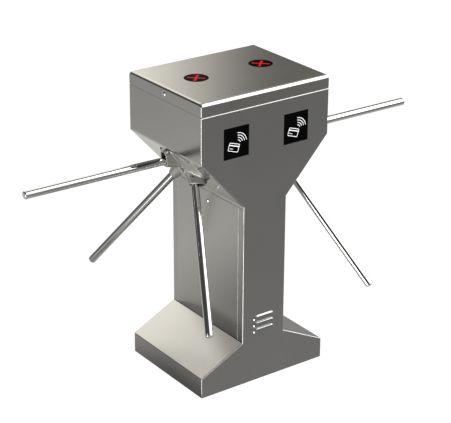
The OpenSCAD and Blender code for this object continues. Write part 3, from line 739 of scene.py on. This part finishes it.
# ------------------------------------------------------------------ bent side sheets
def bent_profile(points, radii, n=8):
    """Open polyline with rounded corners: list of 2-D points."""
    out = [Vector(points[0])]
    for i in range(1, len(points) - 1):
        p, q, r = Vector(points[i - 1]), Vector(points[i]), Vector(points[i + 1])
        a, b = (q - p).normalized(), (r - q).normalized()
        ang = math.acos(max(-1, min(1, a.dot(b))))
        t = radii[i - 1] * math.tan(ang / 2)
        s0, s1 = q - a * t, q + b * t
        side = 1 if (a.x * b.y - a.y * b.x) > 0 else -1
        c = s0 + Vector((-a.y, a.x)) * side * radii[i - 1]
        v0 = s0 - c
        for j in range(n + 1):
            f = side * ang * j / n
            out.append(c + Vector((v0.x * math.cos(f) - v0.y * math.sin(f), v0.x * math.sin(f) + v0.y * math.cos(f))))
    out.append(Vector(points[-1]))
    return out


def profile_map(profile):
    s = [0.0]
    for a, b in zip(profile[:-1], profile[1:]):
        s.append(s[-1] + (b - a).length)

    def at(d):
        for i in range(len(s) - 1):
            if d <= s[i + 1] + 1e-9 or i == len(s) - 2:
                f = (d - s[i]) / (s[i + 1] - s[i])
                return profile[i] + (profile[i + 1] - profile[i]) * f
        return profile[-1]
    return s, at


def bent_sheet(name, profile, y0, y1, mat, out_at, t, holes=()):
    """Sheet that follows a profile in x and z and runs from y0 to y1, with holes given in (distance along, y)."""
    s, at = profile_map(profile)
    bm = bmesh.new()
    for i in range(len(s) - 1):
        a, b = s[i], s[i + 1]
        mine = [h for h in holes if min(v[0] for v in h) < b and max(v[0] for v in h) > a]
        if mine:
            fill(bm, rect(a, y0, b, y1), mine, lambda d, y: (at(d).x, y, at(d).y))
        else:
            vs = [bm.verts.new((at(d).x, y, at(d).y)) for d, y in ((a, y0), (b, y0), (b, y1), (a, y1))]
            bm.faces.new(vs)
    return sheet_object(name, bm, mat, out_at, t)


for side in ("left", "right"):
    sg = side_sign(side)
    gap = BEND - 0.2
    prof = bent_profile([(sg * HW, SEAM_Z), (sg * HW, HEAD_Z), (sg * CW, NECK_Z), (sg * CW, NECK_Z - 8)], (14.0, 3.0))
    s, at = profile_map(prof)
    # the round opening is cut along the rotor's axis, so it is slightly oval in the sheet
    hub2 = Vector((sg * abs(HUB_P.x), HUB_P.z))
    q0 = prof[9]
    d0 = s[9] + (hub2 - q0).length
    dirx = (prof[10] - prof[9]).normalized()
    ax2 = Vector((sg * math.cos(TILT), -math.sin(TILT)))
    sq = abs(ax2.x * dirx.y - ax2.y * dirx.x)
    hole = [(d0 + 91.0 / sq * math.cos(2 * math.pi * i / 96), 91.0 * math.sin(2 * math.pi * i / 96)) for i in range(96)]
    ob = bent_sheet(f"{side}_head_skin", prof, -HD + gap, HD - gap, MAT["side_steel"], ((sg * HW, 0, 860), (sg, 0, 0)), T, [hole])
    attach(ob, "cabinet", "side_steel", f"{side}_head_shell")
    # base cover: lip and slope
    prof = bent_profile([(sg * HW, 0.0), (sg * HW, LIP_Z), (sg * (CW + 0.3), SLOPE_Z - 0.15)], (4.0,))
    ob = bent_sheet(f"{side}_base_skin", prof, -HD + gap, HD - gap, MAT["base_cover"], ((sg * HW, 0, 30), (sg, 0, 0)), T)
    attach(ob, "cabinet", "side_steel", f"{side}_base_cover")
    # door in the column's side: a flat tray with rounded folded edges
    bm = bmesh.new()
    za, zb, ya, yb, r = SLOPE_Z + 0.9, NECK_Z - 8.8, -165.9, 167.1, 1.6
    rings = []
    for i in range(5):
        a = math.radians(90 * i / 4)
        d = r * (1 - math.cos(a))
        rings.append([bm.verts.new((sg * (CW - r * (1 - math.sin(a))), y, z)) for y, z in ((ya + d, za + d), (yb - d, za + d), (yb - d, zb - d), (ya + d, zb - d))])
    deep = [bm.verts.new((sg * (CW - 7), v.co.y, v.co.z)) for v in rings[0]]
    rings = [deep] + rings
    for a, b in zip(rings[:-1], rings[1:]):
        for i in range(4):
            bm.faces.new((a[i], a[(i + 1) % 4], b[(i + 1) % 4], b[i]))
    fill(bm, [(v.co.y, v.co.z) for v in rings[-1]], [circle(0, 571, 8.0, 32)], lambda y, z: (sg * CW, y, z))
    ob = sheet_object(f"{side}_door_skin", bm, MAT["side_steel"], ((sg * CW, 60, 400), (sg, 0, 0)), 1.2)
    attach(ob, f"{side}_door", "side_steel", f"{side}_door")

# ------------------------------------------------------------------ lid
LENS_X, LENS_Y, LENS_SHIFT, LENS_R = 123.0, 16.0, 11.5, 38.5
bm = bmesh.new()
z0 = SEAM_Z + 1.2
corner = [bm.verts.new((x, y, z)) for z in (z0, TOP_Z) for x, y in ((-HW, -HD), (HW, -HD), (HW, HD), (-HW, HD))]
for q in ((4, 5, 6, 7), (0, 1, 5, 4), (1, 2, 6, 5), (2, 3, 7, 6), (3, 0, 4, 7)):
    bm.faces.new([corner[i] for i in q])


def edges_where(test):
    return [e for e in bm.edges if test(e.verts[0].co, e.verts[1].co)]


bmesh.ops.bevel(bm, geom=edges_where(lambda a, b: min(a.z, b.z) > TOP_Z - 0.01 and abs(a.y - b.y) < 0.01), offset=13.0, offset_type="OFFSET",
                segments=12, profile=0.5, affect="EDGES", clamp_overlap=False)
bmesh.ops.bevel(bm, geom=edges_where(lambda a, b: abs(a.x) > HW - 0.01 and abs(a.x - b.x) < 0.01 and max(a.z, b.z) > z0 + 0.01 and
                                     (abs(a.y - b.y) < 0.01 and abs(a.y) > HD - 0.01 or min(a.z, b.z) > TOP_Z - 13.1)), offset=4.5,
                offset_type="OFFSET", segments=6, profile=0.5, affect="EDGES", clamp_overlap=False)
# the fold along the two sides opens from 4.5 to 9 mm on the top
for v in bm.verts:
    b_, sx, sy = HW - abs(v.co.x), math.copysign(1, v.co.x), math.copysign(1, v.co.y)
    if b_ > 4.51 or v.co.z < TOP_Z - 13.01:
        continue
    dy, dz = abs(v.co.y) - (HD - 13.0), v.co.z - (TOP_Z - 13.0)
    if dy < 0.01 and v.co.z > TOP_Z - 4.51:
        v.co.z = TOP_Z - 2.0 * (TOP_Z - v.co.z)
        v.co.x = sx * (HW - 2.0 * b_)
    elif dy > 0.01:
        rho, th = math.hypot(dy, dz), math.atan2(dz, dy)
        k_ = 1.0 + 0.5 * (1 - math.cos(2 * th))
        rho = 13.0 - (13.0 - rho) * k_
        v.co = Vector((sx * (HW - b_ * k_), sy * (HD - 13.0 + rho * math.cos(th)), TOP_Z - 13.0 + rho * math.sin(th)))
top = max((fc for fc in bm.faces if fc.calc_center_median().z > TOP_Z - 0.01), key=lambda fc: fc.calc_area())
bmesh.ops.inset_individual(bm, faces=[top], thickness=1.5, depth=0.0)
top = max((fc for fc in bm.faces if fc.calc_center_median().z > TOP_Z - 0.01), key=lambda fc: fc.calc_area())
loop = [(v.co.x, v.co.y) for v in top.verts]
if sum(loop[i - 1][0] * loop[i][1] - loop[i][0] * loop[i - 1][1] for i in range(len(loop))) < 0:
    loop.reverse()
bmesh.ops.delete(bm, geom=[top], context="FACES_ONLY")
fill(bm, loop, [circle(LENS_SHIFT + sx * LENS_X, LENS_Y, LENS_R + 0.25, 96) for sx in (-1, 1)], lambda x, y: (x, y, TOP_Z))
# the skirt's lower edge turns in with a small radius
for v in [v for v in bm.verts if abs(v.co.z - z0) < 0.01]:
    v.co.z = z0 + 1.7
rim = [e for e in bm.edges if e.is_boundary and abs(e.verts[0].co.z - z0 - 1.7) < 0.01 and abs(e.verts[1].co.z - z0 - 1.7) < 0.01]
R_V = 4.5


def hem(v, a):
    core = Vector((max(-(HW - R_V), min(HW - R_V, v.x)), max(-(HD - R_V), min(HD - R_V, v.y))))
    nn = (Vector((v.x, v.y)) - core).normalized()
    q = core + nn * (R_V - 1.7 * (1 - math.cos(a)))
    return (q.x, q.y, z0 + 1.7 - 1.7 * math.sin(a))


for e in rim:
    p, q = e.verts[0].co.copy(), e.verts[1].co.copy()
    for i in range(6):
        a0, a1 = math.radians(15 * i), math.radians(15 * (i + 1))
        bm.faces.new([bm.verts.new(c) for c in (hem(p, a0), hem(q, a0), hem(q, a1), hem(p, a1))])
attach(sheet_object("lid_skin", bm, MAT["lid_steel"], ((0, 0, TOP_Z), (0, 0, 1)), 1.5), "lid", "lid_steel", "lid")

# strips behind the upper edges of the skins, and the lips of the side sheets, that locate the lid
bm = bmesh.new()


def add_box(bm, a, b):
    vs = [bm.verts.new((x, y, z)) for x in (a[0], b[0]) for y in (a[1], b[1]) for z in (a[2], b[2])]
    for q in ((0, 1, 3, 2), (4, 6, 7, 5), (0, 4, 5, 1), (2, 3, 7, 6), (0, 2, 6, 4), (1, 5, 7, 3)):
        bm.faces.new([vs[i] for i in q])


for sy in (-1, 1):
    add_box(bm, (-HW + 20, min(sy * 190.2, sy * 188.6), SEAM_Z - 20), (HW - 20, max(sy * 190.2, sy * 188.6), SEAM_Z + 20))
for sx in (-1, 1):
    add_box(bm, (min(sx * (HW - 2.1), sx * (HW - 3.8)), -170, SEAM_Z - 30), (max(sx * (HW - 2.1), sx * (HW - 3.8)), 170, SEAM_Z + 29))
    for sy in (-1, 1):
        add_box(bm, (min(sx * (HW - 3.9), sx * (HW - 30)), min(sy * 13.5, sy * 44), SEAM_Z + 27), (max(sx * (HW - 3.9), sx * (HW - 30)), max(sy * 13.5, sy * 44), SEAM_Z + 29))
ob = mesh_object("lid_locating_strips", bm, MAT["side_steel"], 30)
attach(ob, "cabinet", "side_steel")
bm = bmesh.new()
for sx in (-1, 1):
    add_box(bm, (min(sx * (HW - 0.5), sx * (HW - 2.0)), -188, SEAM_Z + 0.05), (max(sx * (HW - 0.5), sx * (HW - 2.0)), 188, SEAM_Z + 1.1))
attach(mesh_object("lid_seat_beads", bm, MAT["lock_chrome"], 30), "cabinet", "lock_chrome")


# ------------------------------------------------------------------ indicator lenses with their lit crosses
def lens_material():
    m, t, b = material("indicator_lens_lit")
    tc = t.node("ShaderNodeTexCoord")
    sp = t.node("ShaderNodeSeparateXYZ")
    t.l.new(tc.outputs["Object"], sp.inputs[0])
    x = t.math("SUBTRACT", t.math("ABSOLUTE", t.math("SUBTRACT", sp.outputs[0], LENS_SHIFT * MM)), LENS_X * MM)
    y = t.math("SUBTRACT", sp.outputs[1], LENS_Y * MM)
    u = t.math("MULTIPLY", t.math("ADD", x, y), 0.70711)
    v = t.math("MULTIPLY", t.math("SUBTRACT", x, y), 0.70711)
    au, av = t.math("ABSOLUTE", u), t.math("ABSOLUTE", v)

    def stroke(a, c):
        along = t.step(a, 0.030, 0.0275)
        core = t.math("ADD", t.step(c, 0.0042, 0.0020, 0.0, 0.88), t.step(c, 0.0105, 0.0030, 0.0, 0.12))
        return t.math("MULTIPLY", along, core)
    mask = t.math("MAXIMUM", stroke(au, av), stroke(av, au))
    # single light points show faintly through the lens
    w1 = t.math("PINGPONG", au, 0.0035)
    w2 = t.math("PINGPONG", av, 0.0035)
    dots = t.math("MAXIMUM", t.math("MULTIPLY", stroke(au, av), t.step(w1, 0.0, 0.003, 0.72, 1.0)),
                  t.math("MULTIPLY", stroke(av, au), t.step(w2, 0.0, 0.003, 0.72, 1.0)))
    n = noise_tex(t, 60.0, 2.0, 0.5)
    fine = noise_tex(t, 700.0, 2.0, 0.5)
    t.l.new(t.mixc(t.step(n, 0.3, 0.7), (0.006, 0.0015, 0.002), (0.010, 0.003, 0.0035)), b.inputs["Base Color"])
    t.l.new(t.math("ADD", t.step(n, 0.3, 0.7, 0.06, 0.10), t.step(fine, 0.3, 0.7, 0.0, 0.02)), b.inputs["Roughness"])
    t.l.new(t.mixc(dots, (0.0, 0.0, 0.0), (0.78, 0.02, 0.035)), b.inputs["Emission Color"])
    b.inputs["Emission Strength"].default_value = 1.0
    b.inputs["IOR"].default_value = 1.05
    bump(t, b, fine, 0.08, 0.00001)
    return m


MAT["indicator_lens"] = lens_material()
bm = bmesh.new()
for sx in (-1, 1):
    prof = [(36.0, 964.2), (LENS_R, 964.2), (LENS_R, 975.6), (LENS_R + 2.4, 975.6), (LENS_R + 2.4, 978.2), (LENS_R, 978.2), (LENS_R, 979.2)] +            arc(LENS_R - 0.8, 979.2, 0.75, 0, 90, 4)[1:] + [(20, 979.97), (0, 979.98)]
    inner = [(0, 977.0), (36.0, 977.0)]
    revolve(bm, inner + prof, 96, Matrix.Translation((LENS_SHIFT + sx * LENS_X, LENS_Y, 0)), closed=False)
attach(mesh_object("indicator_lens_discs", bm, MAT["indicator_lens"], 30), "lid", "indicator_lens", "indicator_lenses")


# ------------------------------------------------------------------ reader windows with a plain contactless sign
def glowing_ink_material():
    m, t, b = material("printed_white_ink_painted_glow")
    n = noise_tex(t, 900.0, 2.0, 0.5)
    big = noise_tex(t, 40.0, 2.0, 0.5)
    t.l.new(t.mixc(t.step(n, 0.3, 0.7), (0.80, 0.80, 0.80), (0.92, 0.92, 0.92)), b.inputs["Base Color"])
    t.l.new(t.step(big, 0.3, 0.7, 0.38, 0.5), b.inputs["Roughness"])
    # painted light: the white print glows by its emission, though it is no lamp
    t.l.new(t.mixc(t.step(n, 0.3, 0.7), (0.74, 0.74, 0.74), (0.82, 0.82, 0.82)), b.inputs["Emission Color"])
    b.inputs["Emission Strength"].default_value = 1.0
    bump(t, b, n, 0.2, 0.00003)
    return m


INK_PAINTED_GLOW = glowing_ink_material()
bm = bmesh.new()
for sx in (-1, 1):
    outer = slot_hole(-WIN_W / 2, -WIN_H / 2, WIN_W / 2, WIN_H / 2, 0.9, 3)
    ring = []
    for d, y in ((0.0, -HD + T + 0.05), (0.0, -HD + 0.25), (0.12, -HD - 0.15), (0.45, -HD - 0.36)):
        pts = slot_hole(-WIN_W / 2 + d, -WIN_H / 2 + d, WIN_W / 2 - d, WIN_H / 2 - d, max(0.3, 0.9 - d), 3)
        ring.append([bm.verts.new((sx * WIN_X + a, y, WIN_Z + b)) for a, b in pts])
    for a, b in zip(ring[:-1], ring[1:]):
        for i in range(len(a)):
            bm.faces.new((a[i], a[(i + 1) % len(a)], b[(i + 1) % len(a)], b[i]))
    bm.faces.new(ring[-1])
    bm.faces.new(list(reversed(ring[0])))
    add_box(bm, (sx * WIN_X - WIN_W / 2 - 4, -HD + T + 0.08, WIN_Z - WIN_H / 2 - 4), (sx * WIN_X + WIN_W / 2 + 4, -HD + T + 1.5, WIN_Z + WIN_H / 2 + 4))
attach(mesh_object("reader_glass_panes", bm, MAT["reader_glass"], 30), "cabinet", "reader_glass", "reader_windows")


def ribbon(bm, pts, width, place, closed=False):
    """Flat line of one width along points in the window's plane."""
    pts = [Vector(p) for p in pts]
    n = len(pts)
    left, rightv = [], []
    for i, p in enumerate(pts):
        a = pts[i - 1] if (i > 0 or closed) else p
        b = pts[(i + 1) % n] if (i < n - 1 or closed) else p
        d = (b - a).normalized()
        nn = Vector((-d.y, d.x)) * (width / 2)
        left.append(bm.verts.new(place(p + nn)))
        rightv.append(bm.verts.new(place(p - nn)))
    m = n if closed else n - 1
    for i in range(m):
        j = (i + 1) % n
        bm.faces.new((left[i], rightv[i], rightv[j], left[j]))


bm = bmesh.new()
for sx in (-1, 1):
    def place(p, sx=sx):
        return (sx * WIN_X + p.x * 1.12, -HD - 0.42, WIN_Z + p.y * 1.12)

    # a tilted card with four waves that leave its upper corner
    rot = math.radians(-18)

    def turned(pts, ox=-9.0, oy=-13.0):
        return [(x * math.cos(rot) - y * math.sin(rot) + ox, x * math.sin(rot) + y * math.cos(rot) + oy) for x, y in pts]

    ribbon(bm, turned(slot_hole(-17.0, -11.0, 17.0, 11.0, 2.8, 5)), 1.7, place, True)
    ribbon(bm, turned([(-16.4, 4.6), (16.4, 4.6)]), 2.6, place)
    ribbon(bm, turned([(-12.5, -4.5), (-2.0, -4.5)]), 1.6, place)
    for q in range(4):
        r = 9.0 + 6.8 * q
        ribbon(bm, [(4.0 + r * math.cos(math.radians(a)), -3.0 + r * math.sin(math.radians(a))) for a in range(14 - 2 * q, 87 + 2 * q, 4)], 1.8, place)
# the signs' white print carries a painted glow
attach(sheet_object("reader_signs", bm, INK_PAINTED_GLOW, ((WIN_X, -HD, WIN_Z), (0, -1, 0)), 0.08), "cabinet", "reader_glass")


# ------------------------------------------------------------------ locks
bm_by = {}
for side in ("left", "right"):
    sg = side_sign(side)
    for which, x0, zc, body, node in (("lid", HW, 957.5, "lid", None), ("door", CW, 571.0, f"{side}_door", f"{side}_door_lock_barrel")):
        key = "lid" if which == "lid" else side
        bm = bm_by.setdefault(key, bmesh.new())
        m = Matrix.Translation((sg * x0, 0, zc)) @ Matrix.Rotation(math.radians(90) * sg, 4, "Y")
        prof = [(5.12, -13.9), (7.85, -13.9), (7.85, 0.02), (9.4, 0.02)] + [(r_, math.sqrt(145.7 - r_ * r_) - 7.57) for r_ in (9.3, 9.0, 8.6, 8.2, 7.8, 7.4, 7.0, 6.6, 6.2, 5.8)] + \
               [(5.5, 2.9), (5.3, 2.3), (5.12, 1.6)]
        revolve(bm, prof, 64, m)
for key, bm in bm_by.items():
    if key == "lid":
        attach(mesh_object("lid_lock_bodies", bm, MAT["lock_chrome"], 30), "lid", "lock_chrome", "lid_lock_barrels")
    else:
        attach(mesh_object(f"{key}_door_lock_body", bm, MAT["lock_chrome"], 30), f"{key}_door", "lock_chrome", f"{key}_door_lock_barrel")


# ------------------------------------------------------------------ rotor hubs
def sdf_polygon(px, py, poly):
    """Signed distance in a plane to a closed polygon, negative inside."""
    d = np.full(px.shape, 1e18)
    sign = np.ones(px.shape)
    n = len(poly)
    for i in range(n):
        ax_, ay_ = poly[i]
        bx_, by_ = poly[i - 1]
        ex, ey = bx_ - ax_, by_ - ay_
        wx_, wy_ = px - ax_, py - ay_
        h = np.clip((wx_ * ex + wy_ * ey) / (ex * ex + ey * ey), 0, 1)
        dx, dy = wx_ - ex * h, wy_ - ey * h
        d = np.minimum(d, dx * dx + dy * dy)
        c1, c2, c3 = py >= ay_, py < by_, ex * wy_ > ey * wx_
        flip = (c1 & c2 & c3) | (~c1 & ~c2 & ~c3)
        sign = np.where(flip, -sign, sign)
    return sign * np.sqrt(d)


def smin(a, b, k):
    h = np.clip(0.5 + 0.5 * (b - a) / k, 0, 1)
    return b * (1 - h) + a * h - k * h * (1 - h)


def smax(a, b, k):
    return -smin(-a, -b, k)


FACE = [(12.55, -26), (24, -26), (24, -12), (80, -12), (87, -9), (87, -1.5), (85.5, 0), (70, 3.5), (44, 8), (20, 10), (0, 10), (0, -6), (12.55, -6)]


def hub_field(P):
    """Signed distance of the hub casting in the rotor frame, mm."""
    x, y, z = P[..., 0], P[..., 1], P[..., 2]
    rad = np.sqrt(x * x + y * y)
    d = sdf_polygon(rad, z, FACE)
    # central boss with a rounded edge
    boss = smax(rad - 25.0, np.abs(z - 4) - 16.5, 2.5)
    cuts = np.full(x.shape, 1e9)
    ct, st = math.cos(TILT), math.sin(TILT)
    sockets = np.full(x.shape, 1e9)
    for k in range(3):
        a = math.radians(120 * k + hub_field.turn)
        xr = x * math.cos(a) + y * math.sin(a)
        yr = -x * math.sin(a) + y * math.cos(a)
        zz = z + APEX_IN
        # arm frame: s along the arm, u away from the axis, v across
        s = zz * ct + xr * st
        u = xr * ct - zz * st
        v = yr

        def oblong(g_in, g_out, r):
            cx = np.clip(u, -17.7 - g_in + r, 33.0 + g_out - r)
            return np.sqrt((u - cx) ** 2 + v ** 2) - r
        q = np.clip((SOCKET_S - s) / 40.0, 0, 1.2)
        flare = 11.0 * q ** 1.3
        body = oblong(2.0 + flare * 0.8, flare, 17.0 + flare * 0.35)
        mouth = (s - 102.5 - 0.16 * np.clip(u, -22, 34)) * 0.987
        body = smax(body * 0.96, mouth, 2.2)
        body = np.maximum(body, 20 - s)
        body = np.maximum(body, -10 - z)
        body = np.maximum(body, np.maximum(rad - 110.0, z - 50))
        sockets = np.minimum(sockets, body)
        pocket = smax(oblong(-4.2, -4.2, 12.8), 80.0 - s, 2.0)
        bore = np.maximum(np.sqrt(u * u + v * v) - 12.75, 56.0 - s)
        sc = np.maximum(np.sqrt(u * u + (s - 80) ** 2) - 4.05, -v)
        cuts = np.minimum(cuts, np.minimum(smin(pocket, bore, 0.8), sc))
    d = smin(d, sockets, 3.0)
    d = smin(d, boss, 1.5)
    d = np.maximum(d, -12 - z - 200 * (rad < 24.5))
    d = smax(d, -cuts, 2.0)
    bore0 = np.maximum(rad - 12.55, z + 6.0)
    return np.maximum(d, -bore0)


def surface_nets(field, lo, hi, h):
    """Quads of the zero surface on a regular grid, then pulled onto it."""
    n = [int(math.ceil((hi[i] - lo[i]) / h)) + 1 for i in range(3)]
    ax = [lo[i] + h * np.arange(n[i]) for i in range(3)]
    G = np.stack(np.meshgrid(*ax, indexing="ij"), -1)
    F = field(G)
    S = F < 0
    cells = np.zeros([m - 1 for m in n], bool)
    first = S[:-1, :-1, :-1]
    for dx in (0, 1):
        for dy in (0, 1):
            for dz in (0, 1):
                cells |= S[dx:n[0] - 1 + dx, dy:n[1] - 1 + dy, dz:n[2] - 1 + dz] != first
    idx = -np.ones(cells.shape, np.int64)
    where = np.argwhere(cells)
    idx[tuple(where.T)] = np.arange(len(where))
    acc = np.zeros((len(where), 3))
    cnt = np.zeros(len(where))
    corners = [(dx, dy, dz) for dx in (0, 1) for dy in (0, 1) for dz in (0, 1)]
    for a in corners:
        for axis in range(3):
            if a[axis]:
                continue
            b = list(a)
            b[axis] = 1
            fa = F[tuple((where + a).T)]
            fb = F[tuple((where + b).T)]
            cross = (fa < 0) != (fb < 0)
            t = np.where(cross, fa / np.where(cross, fa - fb, 1), 0)
            pt = where + np.array(a) + 0.0
            pt[:, axis] += t
            acc += np.where(cross[:, None], pt, 0)
            cnt += cross
    V = np.array(lo) + h * acc / cnt[:, None]
    quads = []
    for axis in range(3):
        b, c = (axis + 1) % 3, (axis + 2) % 3
        sl0 = [slice(None)] * 3
        sl1 = [slice(None)] * 3
        sl0[axis] = slice(0, n[axis] - 1)
        sl1[axis] = slice(1, n[axis])
        change = S[tuple(sl0)] != S[tuple(sl1)]
        e = np.argwhere(change)
        e = e[(e[:, b] > 0) & (e[:, c] > 0) & (e[:, b] < n[b] - 1) & (e[:, c] < n[c] - 1)]
        ob_, oc_ = np.zeros(3, int), np.zeros(3, int)
        ob_[b], oc_[c] = 1, 1
        q = np.stack([idx[tuple((e - ob_ - oc_).T)], idx[tuple((e - oc_).T)], idx[tuple(e.T)], idx[tuple((e - ob_).T)]], 1)
        inner = S[tuple(e.T)]
        q[~inner] = q[~inner][:, ::-1]
        quads.append(q)
    Q = np.concatenate(quads)
    Q = Q[(Q >= 0).all(1)]
    for _ in range(4):
        f = field(V)
        e = 0.15
        g = np.stack([(field(V + np.eye(3)[i] * e) - field(V - np.eye(3)[i] * e)) / (2 * e) for i in range(3)], -1)
        g2 = np.maximum((g * g).sum(-1), 0.25)
        V = V - np.clip(f / g2, -h * 0.5, h * 0.5)[:, None] * g
    return V, Q


for side in ("left", "right"):
    hub_field.turn = TURN[side]
    V, Q = surface_nets(hub_field, (-113, -113, -29), (113, 113, 52), 1.45)
    bm = bmesh.new()
    vs = [bm.verts.new(tuple(float(c) for c in v)) for v in V]
    for q in Q:
        try:
            bm.faces.new([vs[int(i)] for i in q])
        except ValueError:
            pass
    bmesh.ops.transform(bm, matrix=to_world(side), verts=bm.verts)
    ob = mesh_object(f"{side}_hub_casting", bm, MAT["hub_steel"], 50, weighted=False)
    attach(ob, f"{side}_rotor", "hub_steel", f"{side}_hub")
    # screws that hold the arms: heads with a rounded top edge and a round socket
    bm = bmesh.new()
    for k in range(3):
        m = to_world(side) @ arm_matrix(side, k) @ Matrix.Translation((0, 0, 80)) @ Matrix.Rotation(math.radians(-90), 4, "X")
        prof = [(0, 14.4), (2.2, 14.4), (2.35, 16.3), (2.7, 16.9)] + arc(3.3, 16.2, 0.65, 80, 0, 4) + [(3.95, 12.85), (0, 12.85)]
        revolve(bm, prof, 32, m, closed=False)
    attach(mesh_object(f"{side}_arm_set_screws", bm, MAT["cam_steel"], 35), f"{side}_rotor", "machined_steel", f"{side}_arm_screws")

# rounded edges on the machine parts that keep their own mesh
for name, ob in NODE.items():
    if name in ("base_plate", "panel_screws", "left_lid_lock_cam", "right_lid_lock_cam", "left_door_lock_cam", "right_door_lock_cam",
                "cable_grommet", "left_shaft", "right_shaft", "reader_modules", "power_supply"):
        md = ob.modifiers.new("edges", "BEVEL")
        md.width = 0.0003 if "lock" in name or "screws" in name else 0.0006
        md.segments = 2
        md.limit_method = "ANGLE"
        md.angle_limit = math.radians(40)
        md.use_clamp_overlap = True
